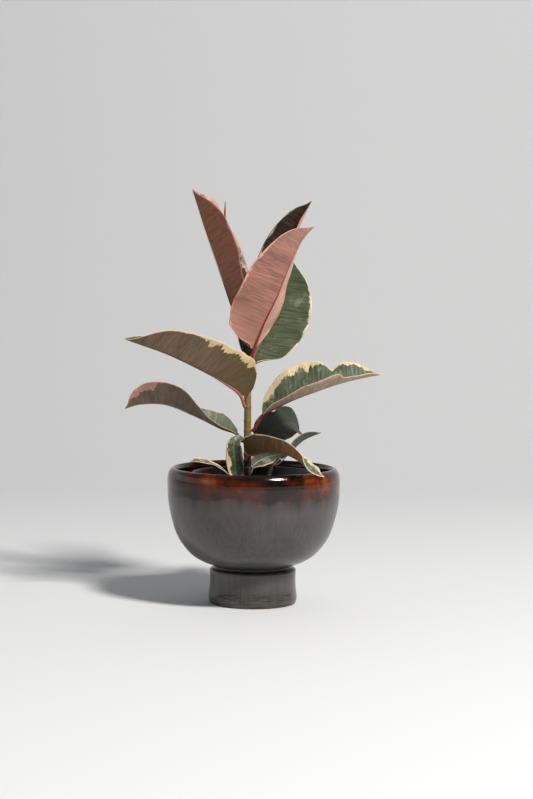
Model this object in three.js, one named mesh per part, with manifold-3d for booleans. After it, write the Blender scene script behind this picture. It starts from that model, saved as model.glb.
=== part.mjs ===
// Potted rubber plant: footed stoneware bowl, nursery pot inside it, soil, stems and leaves.
// Millimetres, +Z up. The origin is the bowl's axis at the floor, -Y is the front.
import * as THREE from 'three';
import { mergeVertices } from 'three/addons/utils/BufferGeometryUtils.js';
import Module from 'manifold-3d';

// bowl
const BOWL_R = 80;            // greatest outer radius
const BOWL_H = 126;           // floor to the crest of the lip
const FOOT_R = 41;            // foot ring, outer
const FOOT_H = 34;            // floor to the groove under the bowl
const FOOT_WALL = 7.5;
const BOWL_WALL = 8.4;
const FLOOR_TOP = 44;         // inside floor of the bowl

// nursery pot
const FIT_GAP = 0.3;          // clearance between pieces that touch
const POT_BASE_R = 37;
const POT_RIM_R = 57.5;
const POT_WALL = 1.6;
const POT_DROP = 4.3;         // its rim below the bowl's crest
const RIM_BAND = 8.5;         // height of the rolled rim
const RIM_OVERHANG = 2.6;
const DRAIN_R = 4;
const DRAIN_COUNT = 6;
const POT_SIDES = 40;         // flats round the nursery pot and the soil in it

// plant
const SOIL_DROP = 9.5;        // soil below the nursery pot's rim
const STEM_R = 3.3;
const ROOT_DEPTH = 34;
const SHOOT_R = 2.0;
const PLANT_SCALE = 1;        // all stems and leaves, from the foot of the stem
const LEAF_WIDTH = 1;         // all blades, across
const LEAF_THICK = 1.0;
const STALK_R = 1.9;
const BUD_R = 3.0;

const POT_Z = FLOOR_TOP + FIT_GAP;
const POT_TOP = BOWL_H - POT_DROP;
const SOIL_Z = POT_TOP - SOIL_DROP;

const v3 = (p) => new THREE.Vector3(p[0], p[1], p[2]);
const place = (p) => v3(p).multiplyScalar(PLANT_SCALE).add(new THREE.Vector3(0, 0, SOIL_Z));

// ---------- closed solids ----------

function closed(geometry) {
  geometry.deleteAttribute('normal');
  geometry.deleteAttribute('uv');
  const merged = mergeVertices(geometry, 1e-4);
  const index = merged.index.array;
  const kept = [];
  for (let i = 0; i < index.length; i += 3) {
    const [a, b, c] = [index[i], index[i + 1], index[i + 2]];
    if (a !== b && b !== c && c !== a) kept.push(a, b, c);
  }
  merged.setIndex(kept);
  if (volume(merged) < 0) {
    for (let i = 0; i < kept.length; i += 3) [kept[i], kept[i + 1]] = [kept[i + 1], kept[i]];
    merged.setIndex(kept);
  }
  return merged;
}

function volume(geometry) {
  const p = geometry.attributes.position;
  const index = geometry.index.array;
  const [a, b, c] = [new THREE.Vector3(), new THREE.Vector3(), new THREE.Vector3()];
  let sum = 0;
  for (let i = 0; i < index.length; i += 3) {
    a.fromBufferAttribute(p, index[i]);
    b.fromBufferAttribute(p, index[i + 1]);
    c.fromBufferAttribute(p, index[i + 2]);
    sum += a.dot(b.cross(c)) / 6;
  }
  return sum;
}

// a turned solid: the profile starts and ends on the axis
function turned(profile, segments) {
  const points = profile.map(([r, z]) => new THREE.Vector2(r, z));
  const geometry = new THREE.LatheGeometry(points, segments);
  geometry.rotateX(Math.PI / 2);
  return closed(geometry);
}

// a skin over rings of equal count, closed by a point at each end
function lofted(rings) {
  const count = rings[0].length;
  const positions = rings.flat().flatMap((p) => [p.x, p.y, p.z]);
  const index = [];
  for (let i = 0; i + 1 < rings.length; i += 1) {
    for (let k = 0; k < count; k += 1) {
      const a = i * count + k;
      const b = i * count + ((k + 1) % count);
      index.push(a, b, b + count, a, b + count, a + count);
    }
  }
  for (const end of [0, rings.length - 1]) {
    const middle = new THREE.Vector3();
    rings[end].forEach((p) => middle.addScaledVector(p, 1 / count));
    const hub = positions.length / 3;
    positions.push(middle.x, middle.y, middle.z);
    for (let k = 0; k < count; k += 1) {
      const a = end * count + k;
      const b = end * count + ((k + 1) % count);
      if (end === 0) index.push(hub, b, a);
      else index.push(hub, a, b);
    }
  }
  const geometry = new THREE.BufferGeometry();
  geometry.setAttribute('position', new THREE.Float32BufferAttribute(positions, 3));
  geometry.setIndex(index);
  return closed(geometry);
}

const wasm = await Module();
wasm.setup();

function toManifold(geometry) {
  return new wasm.Manifold(new wasm.Mesh({
    numProp: 3,
    vertProperties: new Float32Array(geometry.attributes.position.array),
    triVerts: new Uint32Array(geometry.index.array),
  }));
}

function fromManifold(solid) {
  const mesh = solid.getMesh();
  const geometry = new THREE.BufferGeometry();
  geometry.setAttribute('position', new THREE.Float32BufferAttribute(mesh.vertProperties, 3));
  geometry.setIndex(Array.from(mesh.triVerts));
  return geometry;
}

function post(radius, x, y, z0, z1, sides) {
  const geometry = new THREE.CylinderGeometry(radius, radius, z1 - z0, sides);
  geometry.rotateX(Math.PI / 2);
  geometry.translate(x, y, (z0 + z1) / 2);
  return toManifold(closed(geometry));
}

// ---------- bowl ----------

// outside of the bowl as shares of the largest radius and of the height above the foot
const SIDE = [
  [0.575, 0.040], [0.650, 0.080], [0.725, 0.133], [0.800, 0.205], [0.863, 0.285], [0.913, 0.382],
  [0.950, 0.506], [0.979, 0.646], [0.996, 0.786], [1.000, 0.872], [0.993, 0.926], [0.974, 0.970],
  [0.950, 0.994], [0.925, 1.000],
];

function bowlProfile() {
  const rise = BOWL_H - FOOT_H;
  const foot = [
    [FOOT_R - FOOT_WALL, FOOT_H - 1], [FOOT_R - FOOT_WALL - 0.6, 2.4], [FOOT_R - FOOT_WALL + 1.2, 0],
    [FOOT_R - 1.6, 0], [FOOT_R - 0.3, 2], [FOOT_R + 0.2, 6], [FOOT_R - 0.6, 11], [FOOT_R - 1.2, 17],
    [FOOT_R - 1.2, 27], [FOOT_R - 0.6, FOOT_H - 1.6], [FOOT_R - 2.2, FOOT_H], [FOOT_R - 0.4, FOOT_H + 1.9],
  ];
  const side = SIDE.map(([r, z]) => [BOWL_R * r, FOOT_H + rise * z]);
  const lip = BOWL_R - BOWL_WALL;
  const inside = [
    [lip + 1.4, BOWL_H - 1.2], [lip + 0.3, BOWL_H - 4], [lip, BOWL_H - 9], [lip - 1.3, FOOT_H + rise * 0.65],
    [lip - 3.8, FOOT_H + rise * 0.50], [lip - 7, FOOT_H + rise * 0.38], [lip - 12.5, FOOT_H + rise * 0.27],
    [lip - 18.5, FOOT_H + rise * 0.19], [lip - 26, FOOT_H + rise * 0.125], [POT_BASE_R + 1.5, FLOOR_TOP],
    [0, FLOOR_TOP],
  ];
  return [[0, FOOT_H], ...foot, ...side, ...inside];
}

// ---------- nursery pot and soil ----------

const potRadius = (z) => {
  const share = (z - POT_Z) / (POT_TOP - POT_Z);
  return POT_BASE_R + (POT_RIM_R - RIM_OVERHANG - POT_BASE_R) * share;
};

// the pot's inside: a floor with a wall that leans out from it in one straight line
const INSIDE_LOW = POT_Z + POT_WALL + 1.2;
const INSIDE_HIGH = POT_TOP - 1;
const insideRadius = (z) => {
  const low = potRadius(POT_Z) - POT_WALL;
  const high = potRadius(POT_TOP) - POT_WALL;
  return low + (high - low) * ((z - INSIDE_LOW) / (INSIDE_HIGH - INSIDE_LOW));
};

function nurseryPot() {
  const band = POT_TOP - RIM_BAND;
  const profile = [
    [0, POT_Z + 1.2], [POT_BASE_R - 6, POT_Z + 1.2], [POT_BASE_R - 4.5, POT_Z], [POT_BASE_R - 1.2, POT_Z],
    [POT_BASE_R, POT_Z + 1.2], [potRadius(band), band], [POT_RIM_R, band + 0.8],
    [POT_RIM_R, POT_TOP - 1], [POT_RIM_R - 1, POT_TOP], [insideRadius(INSIDE_HIGH) + 0.8, POT_TOP],
    [insideRadius(INSIDE_HIGH), INSIDE_HIGH], [insideRadius(INSIDE_LOW), INSIDE_LOW], [0, INSIDE_LOW],
  ];
  let solid = toManifold(turned(profile, POT_SIDES));
  for (let i = 0; i < DRAIN_COUNT; i += 1) {
    const turn = (i / DRAIN_COUNT) * Math.PI * 2;
    const ring = POT_BASE_R * 0.62;
    solid = solid.subtract(post(DRAIN_R, ring * Math.cos(turn), ring * Math.sin(turn), POT_Z - 2, POT_Z + 6, 12));
  }
  return fromManifold(solid);
}

function soil() {
  const low = INSIDE_LOW + FIT_GAP;
  const side = FIT_GAP + 0.2;
  const edge = SOIL_Z - 1.4;
  const top = insideRadius(edge) - side;
  const profile = [
    [0, low], [insideRadius(low) - side, low], [top, edge], [top * 0.85, SOIL_Z - 0.4],
    [top * 0.5, SOIL_Z - 1.1], [14, SOIL_Z + 0.5], [0, SOIL_Z],
  ];
  let solid = toManifold(turned(profile, POT_SIDES));
  for (const foot of [STEM, SHOOT]) {
    const [x, y] = foot.path[0].map((value) => value * PLANT_SCALE);
    solid = solid.subtract(post(foot.radius + FIT_GAP, x, y, SOIL_Z - ROOT_DEPTH - 1, SOIL_Z + 5, 14));
  }
  return fromManifold(solid);
}

// ---------- stems ----------

// paths in millimetres from the soil under the stem, before PLANT_SCALE
const STEM = {
  radius: STEM_R,
  path: [[-5.5, 0, 0], [-5.8, 0, 14], [-6, 0, 39], [-6, 0, 67], [-6, 0, 90], [-4, 0, 108], [-2.6, 0, 118]],
};
const SHOOT = {
  radius: SHOOT_R,
  path: [[13, 1, 0], [14, 2, 5], [17, 4, 13], [24, 8, 21]],
};

function stemCurve(stem) {
  const points = stem.path.map(place);
  return new THREE.CatmullRomCurve3(points, false, 'centripetal');
}

function stemSolid(stem, tipShare) {
  const curve = stemCurve(stem);
  const rings = [];
  const foot = place(stem.path[0]);
  const circle = (centre, tangent, radius) => {
    const side = new THREE.Vector3(0, 1, 0).cross(tangent).normalize();
    const other = tangent.clone().cross(side);
    return Array.from({ length: 12 }, (_, k) => {
      const a = (k / 12) * Math.PI * 2;
      return centre.clone().addScaledVector(side, radius * Math.cos(a)).addScaledVector(other, radius * Math.sin(a));
    });
  };
  const up = new THREE.Vector3(0, 0, 1);
  rings.push(circle(foot.clone().addScaledVector(up, -ROOT_DEPTH), up, stem.radius * 0.8));
  rings.push(circle(foot.clone().addScaledVector(up, -0.5), up, stem.radius));
  const steps = stem.path.length * 2;
  for (let i = 1; i <= steps; i += 1) {
    const t = i / steps;
    rings.push(circle(curve.getPointAt(t), curve.getTangentAt(t), stem.radius * (1 - (1 - tipShare) * t)));
  }
  return lofted(rings);
}

// where a stalk leaves the stem: a point just clear of the bark at this height
function nodeOn(stem, height, direction) {
  const curve = stemCurve(stem);
  const target = SOIL_Z + height * PLANT_SCALE;
  let [low, high] = [0, 1];
  for (let i = 0; i < 24; i += 1) {
    const middle = (low + high) / 2;
    if (curve.getPointAt(middle).z < target) low = middle;
    else high = middle;
  }
  const out = new THREE.Vector3(direction[0], direction[1], 0).normalize();
  const centre = curve.getPointAt((low + high) / 2);
  const first = centre.clone().addScaledVector(out, stem.radius + FIT_GAP + 0.2);
  return [first, first.clone().addScaledVector(out, 1.5)];
}

// ---------- leaves ----------

// blade outline: share of the blade's length, share of its half width
const OUTLINE = [
  [0.02, 0.16], [0.07, 0.42], [0.15, 0.70], [0.27, 0.91], [0.42, 1.0], [0.57, 0.98], [0.72, 0.82],
  [0.85, 0.55], [0.93, 0.29], [0.975, 0.10], [1.0, 0.02],
];

// Each leaf: the node it leaves the stem from, its midrib, which way the upper face looks along the
// midrib, half its width, how far each half is folded up (left and right of the midrib, degrees),
// and the share of its length that is stalk.
const LEAVES = [
  { name: 'leaf_spear', from: [STEM, 108, [-1, 0.25]], stalk: 0.17, half: 31, fold: [56, 56], cup: -6, lean: 0.78,
    midrib: [[-11, 3, 136], [-21, 2, 162], [-34, -1, 198], [-47, -4, 234], [-58, -8, 269]],
    faces: [[0, 0.9, 0.3, 0.1], [0.4, 0.98, -0.2, 0.2], [1, 0.98, -0.2, 0.2]] },
  { name: 'leaf_top_front', from: [STEM, 103, [0.1, -1]], stalk: 0.18, half: 34.5, fold: [41, 41], cup: -8, lean: 1.25,
    midrib: [[0, -11, 125], [8, -20, 147], [19, -29, 170], [27, -33, 190], [34, -34, 207],
      [42, -31, 224], [51, -26, 235]],
    faces: [[0, -0.5, 0.8, 0.2], [0.3, -0.55, 0.83, 0.1], [0.6, -0.72, 0.7, 0.1], [1, -0.8, 0.6, 0.2]] },
  { name: 'leaf_top_back', from: [STEM, 99, [-0.5, 0.87]], stalk: 0.32, half: 24, fold: [51, 51], cup: -4, lean: 0.9,
    midrib: [[-6, 14, 104], [-3, 27, 116], [7, 44, 149], [19, 56, 181], [31, 60, 210], [40, 58, 231],
      [46, 54, 245], [52, 48, 258]],
    faces: [[0, 0.1, -0.6, 0.8], [0.35, -0.78, -0.63, 0.1], [1, -0.78, -0.63, 0.1]] },
  { name: 'leaf_top_right', from: [STEM, 96, [0.6, 0.8]], stalk: 0.14, half: 35, fold: [8, 8], cup: 4, lean: 1,
    midrib: [[-1, 9, 115], [8, 15, 134], [16, 20, 157], [25, 24, 181], [32, 26, 201], [35, 26, 208]],
    faces: [[0, 0.1, -0.9, 0.3], [1, 0.15, -0.97, 0.1]] },
  { name: 'leaf_mid_left', from: [STEM, 66, [-0.5, -0.85]], stalk: 0.12, half: 31.5, fold: [44, 44], cup: -4, lean: 1.5,
    midrib: [[-13, -8, 81], [-30, -11, 94], [-55, -12, 107], [-82, -11, 119], [-106, -7, 127],
      [-121, -1, 132]],
    faces: [[0, 0.1, 0.66, 0.75], [0.8, 0.1, 0.66, 0.75], [1, -0.1, 0.1, 1]] },
  { name: 'leaf_low_left', from: [STEM, 38, [-1, -0.2]], stalk: 0.2, half: 24, fold: [36, 36], cup: -4, lean: 0.68,
    midrib: [[-16, -3, 45], [-31, -8, 51], [-55, -10, 62], [-82, -12, 72], [-105, -12, 72],
      [-119, -12, 68]],
    faces: [[0, 0.2, -0.5, 0.85], [0.35, 0.2, -0.3, 0.9], [0.6, 0.1, 0.45, 0.85], [1, 0, 0.7, 0.7]] },
  { name: 'leaf_mid_right', from: [STEM, 48, [1, -0.3]], stalk: 0.14, half: 30, fold: [46, 36], cup: -2, lean: 1.15,
    midrib: [[8, -4, 62], [28, -8, 74], [56, -9, 85], [84, -7, 94], [107, -2, 99], [120, 2, 101]],
    faces: [[0, 0, -0.36, 0.93], [1, -0.1, -0.36, 0.93]] },
  { name: 'leaf_low_back', from: [STEM, 26, [0.6, 0.8]], stalk: 0.12, half: 20, fold: [12, 12], cup: 4, lean: 1,
    midrib: [[7, 10, 30], [17, 22, 38], [27, 36, 45], [37, 52, 48], [43, 71, 45], [46, 92, 36]],
    faces: [[0, -0.2, -0.8, 0.6], [0.6, -0.3, -0.85, 0.45], [1, -0.3, -0.6, 0.7]] },
  { name: 'leaf_rim_front', from: [STEM, 20, [0.1, -1]], stalk: 0.1, half: 18, fold: [58, 22], cup: -4, lean: 1.1,
    midrib: [[-4, -15, 25.5], [3.5, -29, 31], [14, -45, 35], [34, -72, 34], [46, -84, 28], [61, -90, 17]],
    faces: [[0, 0.1, 0.15, 0.98], [0.7, 0.1, 0.15, 0.98], [1, 0.3, -0.3, 0.9]] },
  { name: 'leaf_shoot', from: [SHOOT, 15, [0.3, -1]], stalk: 0.3, half: 9, fold: [58, 58], cup: 0, lean: 1,
    midrib: [[27, 5, 19], [34, 11, 25], [47, 18, 34], [62, 20, 42]],
    faces: [[0, -0.3, 0.3, 0.9], [1, -0.3, 0.3, 0.9]] },
  { name: 'leaf_low_inner', from: [STEM, 6, [0.4, 0.9]], stalk: 0.2, half: 9, fold: [10, 10], cup: 4, lean: 1.2,
    midrib: [[-1, 9, 11], [2, 14, 16], [12, 20, 21], [24, 28, 23], [33, 34, 24]],
    faces: [[0, 0, -0.8, 0.6], [1, 0, -0.8, 0.6]] },
  { name: 'leaf_low_front', from: [STEM, 33, [-0.3, -1]], stalk: 0.12, half: 9.5, fold: [14, 14], cup: 0, lean: 0.8,
    midrib: [[-9, -8, 40], [-14, -11, 41], [-16.5, -13, 36], [-15, -15, 26], [-12.5, -17, 13],
      [-12, -20, 5.5], [-11, -28, 3.5]],
    faces: [[0, 0, -0.3, 1], [0.3, -0.2, -0.9, 0.4], [0.7, -0.2, -0.97, 0.1], [1, 0, -0.3, 1]] },
  { name: 'leaf_rim_left', from: [STEM, 4, [-0.8, -0.6]], stalk: 0.34, half: 6.5, fold: [30, 30], cup: 0, lean: 1,
    midrib: [[-16, -13, 6.5], [-24, -17, 9], [-36, -23, 16], [-47, -28, 21], [-58, -30, 24]],
    faces: [[0, 0, -0.3, 0.95], [1, 0, -0.3, 0.95]] },
];

const pick = (table, t) => {
  for (let i = 1; i < table.length; i += 1) {
    if (t <= table[i][0]) {
      const share = (t - table[i - 1][0]) / (table[i][0] - table[i - 1][0]);
      return table[i].slice(1).map((value, k) => table[i - 1][k + 1] + (value - table[i - 1][k + 1]) * share);
    }
  }
  return table[table.length - 1].slice(1);
};

// one half of the blade at a station: points at half width and full width, and the way it faces
function halfBlade(side, face, angle, cup, width) {
  const inner = THREE.MathUtils.degToRad(angle);
  const outer = THREE.MathUtils.degToRad(angle + cup);
  const way = side.clone().multiplyScalar(Math.cos(inner)).addScaledVector(face, Math.sin(inner));
  const curl = side.clone().multiplyScalar(Math.cos(outer)).addScaledVector(face, Math.sin(outer));
  return {
    rib: way.clone().multiplyScalar(width * 0.08),
    middle: way.clone().multiplyScalar(width * 0.5),
    edge: way.clone().multiplyScalar(width * 0.5).addScaledVector(curl, width * 0.5),
    up: face.clone().multiplyScalar(Math.cos(inner)).addScaledVector(side, -Math.sin(inner)),
    upEdge: face.clone().multiplyScalar(Math.cos(outer)).addScaledVector(side, -Math.sin(outer)),
  };
}

function leafSolid(leaf) {
  const [first, second] = nodeOn(...leaf.from);
  const curve = new THREE.CatmullRomCurve3([first, second, ...leaf.midrib.map(place)], false, 'centripetal');
  const stations = [[0, 0], [leaf.stalk * 0.45, 0], [leaf.stalk * 0.95, 0]];
  OUTLINE.forEach(([t, share]) => stations.push([leaf.stalk + (1 - leaf.stalk) * t ** leaf.lean, share]));
  const rings = stations.map(([t, share]) => {
    const centre = curve.getPointAt(t);
    const tangent = curve.getTangentAt(t);
    const face = v3(pick(leaf.faces, t));
    face.addScaledVector(tangent, -face.dot(tangent)).normalize();
    const side = face.clone().cross(tangent).normalize();
    const small = Math.min(1, leaf.half / 20);
    if (share === 0) {
      const radius = STALK_R * small * (1 - 0.25 * t);
      return [165, 130, 90, 50, 15, -15, -45, -70, -90, -110, -135, -165].map((angle) => {
        const a = THREE.MathUtils.degToRad(angle);
        const out = side.clone().multiplyScalar(radius * Math.cos(a)).addScaledVector(face, radius * Math.sin(a));
        return centre.clone().add(out);
      });
    }
    const width = Math.max(0.5, leaf.half * LEAF_WIDTH * share * PLANT_SCALE);
    const thick = LEAF_THICK / 2;
    const rib = thick + (1.5 * (1 - t) + 0.15) * small;
    const right = halfBlade(side, face, leaf.fold[1], leaf.cup, width);
    const left = halfBlade(side.clone().negate(), face, leaf.fold[0], leaf.cup, width);
    const fat = thick / Math.cos(THREE.MathUtils.degToRad((leaf.fold[0] + leaf.fold[1]) / 2));
    const at = (offset, up, lift) => centre.clone().add(offset).addScaledVector(up, lift);
    const none = new THREE.Vector3();
    return [
      at(left.edge, left.upEdge, thick * 0.8), at(left.middle, left.up, thick), at(none, face, fat),
      at(right.middle, right.up, thick), at(right.edge, right.upEdge, thick * 0.8),
      at(right.edge, right.upEdge, -thick * 0.8), at(right.middle, right.up, -thick),
      at(right.rib, right.up, -thick), at(none, face, -rib - thick), at(left.rib, left.up, -thick),
      at(left.middle, left.up, -thick), at(left.edge, left.upEdge, -thick * 0.8),
    ];
  });
  return lofted(rings);
}

// the red sheath round the newest leaf, standing on the tip of the stem
function budSheath() {
  const path = [[-2.2, 0.4, 120], [-3.6, 0.9, 128], [-7.4, 0.8, 159], [-17, -5, 205], [-28, -9, 259]].map(place);
  const curve = new THREE.CatmullRomCurve3(path, false, 'centripetal');
  const shape = [[0, 0.6], [0.05, 0.8], [0.2, 1], [0.45, 0.95], [0.7, 0.7], [0.88, 0.4], [0.96, 0.2], [1, 0.05]];
  const rings = shape.map(([t, share]) => {
    const centre = curve.getPointAt(t);
    const tangent = curve.getTangentAt(t);
    const side = new THREE.Vector3(0, 1, 0).cross(tangent).normalize();
    const other = tangent.clone().cross(side);
    return Array.from({ length: 8 }, (_, k) => {
      const a = (k / 8) * Math.PI * 2;
      return centre.clone()
        .addScaledVector(side, BUD_R * share * Math.cos(a))
        .addScaledVector(other, BUD_R * share * Math.sin(a));
    });
  });
  return lofted(rings);
}

// ---------- assembly ----------

const group = new THREE.Group();
group.name = 'potted_rubber_plant';

function add(name, geometry, color, roughness) {
  const mesh = new THREE.Mesh(geometry, new THREE.MeshStandardMaterial({ color, roughness }));
  mesh.name = name;
  group.add(mesh);
}

add('planter_bowl', turned(bowlProfile(), 48), 0x5e5a5c, 0.35);
add('nursery_pot', nurseryPot(), 0x1b1b1c, 0.5);
add('potting_soil', soil(), 0x2e2620, 0.95);
add('main_stem', stemSolid(STEM, 0.82), 0x5b5a3c, 0.6);
add('side_shoot', stemSolid(SHOOT, 0.8), 0x4a2a26, 0.6);
add('bud_sheath', budSheath(), 0xb0343a, 0.45);
for (const leaf of LEAVES) add(leaf.name, leafSolid(leaf), 0x4c5f48, 0.4);

export default group;
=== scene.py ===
import math
import bpy
from mathutils import Matrix, Vector, noise


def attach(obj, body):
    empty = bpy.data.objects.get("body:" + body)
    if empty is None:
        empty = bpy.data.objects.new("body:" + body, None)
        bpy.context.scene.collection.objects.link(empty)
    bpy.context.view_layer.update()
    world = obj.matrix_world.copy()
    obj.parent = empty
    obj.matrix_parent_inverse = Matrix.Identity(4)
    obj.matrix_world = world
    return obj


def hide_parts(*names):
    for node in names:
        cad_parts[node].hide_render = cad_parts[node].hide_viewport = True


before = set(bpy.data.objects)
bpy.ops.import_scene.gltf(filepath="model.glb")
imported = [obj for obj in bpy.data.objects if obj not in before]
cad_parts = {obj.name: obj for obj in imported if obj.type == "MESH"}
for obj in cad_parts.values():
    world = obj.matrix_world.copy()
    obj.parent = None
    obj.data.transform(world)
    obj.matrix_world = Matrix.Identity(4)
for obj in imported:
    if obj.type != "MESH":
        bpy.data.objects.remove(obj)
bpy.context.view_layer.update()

mm = 0.001


def linear(code):
    channels = [int(code[i:i + 2], 16) / 255 for i in (1, 3, 5)]
    channels = [c / 12.92 if c <= 0.04045 else ((c + 0.055) / 1.055) ** 2.4 for c in channels]
    return (*channels, 1.0)


# one node with its settings, its colour stops and its links or fixed values
def addNode(mat, kind, inputs=None, stops=None, **settings):
    tree = mat.node_tree
    node = tree.nodes.new("ShaderNode" + kind)
    for name, value in settings.items():
        setattr(node, name, value)
    if stops:
        ramp = node.color_ramp.elements
        ramp[0].position = stops[0][0]
        ramp[1].position = stops[-1][0]
        for place, _ in stops[1:-1]:
            ramp.new(place)
        marks = sorted(ramp, key=lambda mark: mark.position)
        for mark, (_, colour) in zip(marks, stops):
            mark.color = linear(colour) if isinstance(colour, str) else (colour, colour, colour, 1)
    for name, value in (inputs or {}).items():
        if isinstance(value, bpy.types.NodeSocket):
            tree.links.new(value, node.inputs[name])
        elif isinstance(value, str):
            node.inputs[name].default_value = linear(value)
        else:
            node.inputs[name].default_value = value
    return node


def emptyMaterial(name):
    mat = bpy.data.materials.new(name)
    mat.use_nodes = True
    mat.node_tree.nodes.clear()
    return mat


def finishMaterial(mat, inputs):
    shader = addNode(mat, "BsdfPrincipled", inputs)
    addNode(mat, "OutputMaterial", {"Surface": shader.outputs[0]})
    return shader


def deselectAll():
    if bpy.context.object and bpy.context.object.mode != "OBJECT":
        bpy.ops.object.mode_set(mode="OBJECT")
    bpy.ops.object.select_all(action="DESELECT")


def takeUp(piece):
    deselectAll()
    piece.select_set(True)
    bpy.context.view_layer.objects.active = piece


def applyModifier(piece, kind, **settings):
    takeUp(piece)
    modifier = piece.modifiers.new(kind.title(), kind)
    for name, value in settings.items():
        setattr(modifier, name, value)
    bpy.ops.object.modifier_apply(modifier=modifier.name)


def smoothOver(piece, levels):
    modifier = piece.modifiers.new("Smooth", "SUBSURF")
    modifier.levels = levels
    modifier.render_levels = levels


def joinInto(piece, others):
    takeUp(piece)
    for other in others:
        other.select_set(True)
    bpy.ops.object.join()
    return piece


# value from a table of [place, value ...] rows, straight between rows
def readTable(table, place):
    for before, after in zip(table, table[1:]):
        if place <= after[0]:
            share = (place - before[0]) / (after[0] - before[0])
            share = max(0.0, share)
            return [a + (b - a) * share for a, b in zip(before[1:], after[1:])]
    return list(table[-1][1:])


def easeBetween(low, high, value):
    share = min(1.0, max(0.0, (value - low) / (high - low)))
    return share * share * (3 - 2 * share)


# a smooth line through points, as a list of close points
def lineThrough(points, steps=20):
    pts = [Vector(p) for p in points]
    pts = [pts[0] * 2 - pts[1]] + pts + [pts[-1] * 2 - pts[-2]]
    line = []
    for a, b, c, d in zip(pts, pts[1:], pts[2:], pts[3:]):
        ta = (b - a).length ** 0.5
        tb = (c - b).length ** 0.5
        tc = (d - c).length ** 0.5
        leave = ((b - a) / ta - (c - a) / (ta + tb) + (c - b) / tb) * tb
        meet = ((c - b) / tb - (d - b) / (tb + tc) + (d - c) / tc) * tb
        for k in range(steps):
            u = k / steps
            spot = b * (2 * u ** 3 - 3 * u ** 2 + 1) + leave * (u ** 3 - 2 * u ** 2 + u)
            line.append(spot + c * (3 * u ** 2 - 2 * u ** 3) + meet * (u ** 3 - u ** 2))
    line.append(pts[-2])
    return line


# place and direction at a share of a line's length
def alongLine(line, share):
    steps = [(b - a).length for a, b in zip(line, line[1:])]
    left = min(1.0, max(0.0, share)) * sum(steps)
    for i, step in enumerate(steps):
        if left <= step or i == len(steps) - 1:
            low, high = max(0, i - 1), min(len(line) - 1, i + 2)
            return line[i].lerp(line[i + 1], left / step), (line[high] - line[low]).normalized()
        left -= step


def lineLength(line):
    return sum((b - a).length for a, b in zip(line, line[1:]))


# a grid whose vertices are then put in place; across runs -1 to 1, along 0 to 1
def newSheet(name, columns, rows):
    deselectAll()
    bpy.ops.mesh.primitive_grid_add(x_subdivisions=columns, y_subdivisions=rows, size=2)
    sheet = bpy.context.object
    sheet.name = name
    sheet.data.name = name
    spots = [(-v.co.x, (v.co.y + 1) / 2) for v in sheet.data.vertices]
    return sheet, spots


def storeOn(piece, name, values):
    layer = piece.data.attributes.new(name, "FLOAT_VECTOR", "POINT")
    layer.data.foreach_set("vector", [x for value in values for x in value])


# a closed round rod along a line; size(share, angle) gives the radius in mm, push(share) moves it
def rodAlong(name, line, size, sides=12, rows=40, push=None, facing=Vector((0, 1, 0))):
    rod, spots = newSheet(name, sides, rows)
    full = lineLength(line)
    places = []
    for vertex, (across, along) in zip(rod.data.vertices, spots):
        centre, tangent = alongLine(line, along)
        side = facing.cross(tangent).normalized()
        other = tangent.cross(side)
        angle = math.pi * across
        radius = size(along, angle)
        spot = centre + side * (radius * math.cos(angle)) + other * (radius * math.sin(angle))
        if push:
            spot += push(along)
        vertex.co = spot * mm
        places.append((angle * max(radius, 0.3), along * full, 0))
    storeOn(rod, "veinMm", places)
    storeOn(rod, "bladeShare", [(across, along, 2) for across, along in spots])
    takeUp(rod)
    bpy.ops.object.mode_set(mode="EDIT")
    bpy.ops.mesh.select_all(action="SELECT")
    bpy.ops.mesh.remove_doubles(threshold=0.00001)
    bpy.ops.mesh.select_all(action="DESELECT")
    bpy.ops.mesh.select_non_manifold()
    bpy.ops.mesh.edge_face_add()
    bpy.ops.mesh.select_all(action="SELECT")
    bpy.ops.mesh.normals_make_consistent(inside=False)
    bpy.ops.object.mode_set(mode="OBJECT")
    bpy.ops.object.shade_smooth()
    return rod


# a profile of (radius, height) in mm turned round the Z axis
def turnedPiece(name, profile, steps):
    deselectAll()
    bpy.ops.mesh.primitive_plane_add(size=0.01)
    piece = bpy.context.object
    piece.name = name
    piece.data.name = name
    bpy.ops.object.mode_set(mode="EDIT")
    bpy.ops.mesh.select_all(action="SELECT")
    bpy.ops.mesh.merge(type="CENTER")
    start = Vector((profile[0][0], 0, profile[0][1])) * mm
    bpy.ops.transform.translate(value=start)
    for before, after in zip(profile, profile[1:]):
        step = Vector((after[0] - before[0], 0, after[1] - before[1])) * mm
        bpy.ops.mesh.extrude_region_move(TRANSFORM_OT_translate={"value": step})
    bpy.ops.mesh.select_all(action="SELECT")
    bpy.ops.mesh.spin(steps=steps, angle=2 * math.pi, center=(0, 0, 0), axis=(0, 0, 1))
    bpy.ops.mesh.select_all(action="SELECT")
    bpy.ops.mesh.remove_doubles(threshold=0.00001)
    bpy.ops.mesh.normals_make_consistent(inside=False)
    bpy.ops.object.mode_set(mode="OBJECT")
    bpy.ops.object.shade_smooth()
    return piece


camera = {
    "place": (0, -1.7, 0.297),
    "lens": 83.04,
    "turn": 0.3806,      # degrees to the right
    "tilt": 3.6364,      # degrees down
    "roll": 0.5,
}
studio = {
    "keyDirection": (0.449, -0.533, 0.719),
    "keyDistance": 3.0,
    "keySize": 0.5,
    "keyPower": 104,
    "fill": "#8e8f90",
    "fillStrength": 0.42,
    "panelPlace": (-2.4, 0.25, 0.78),      # wide low soft box on the left
    "panelSize": (3.4, 1.0),
    "panelPower": 5.5,
    "topSize": 2.4,
    "topHeight": 2.2,
    "topPower": 3.6,
}

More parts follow.
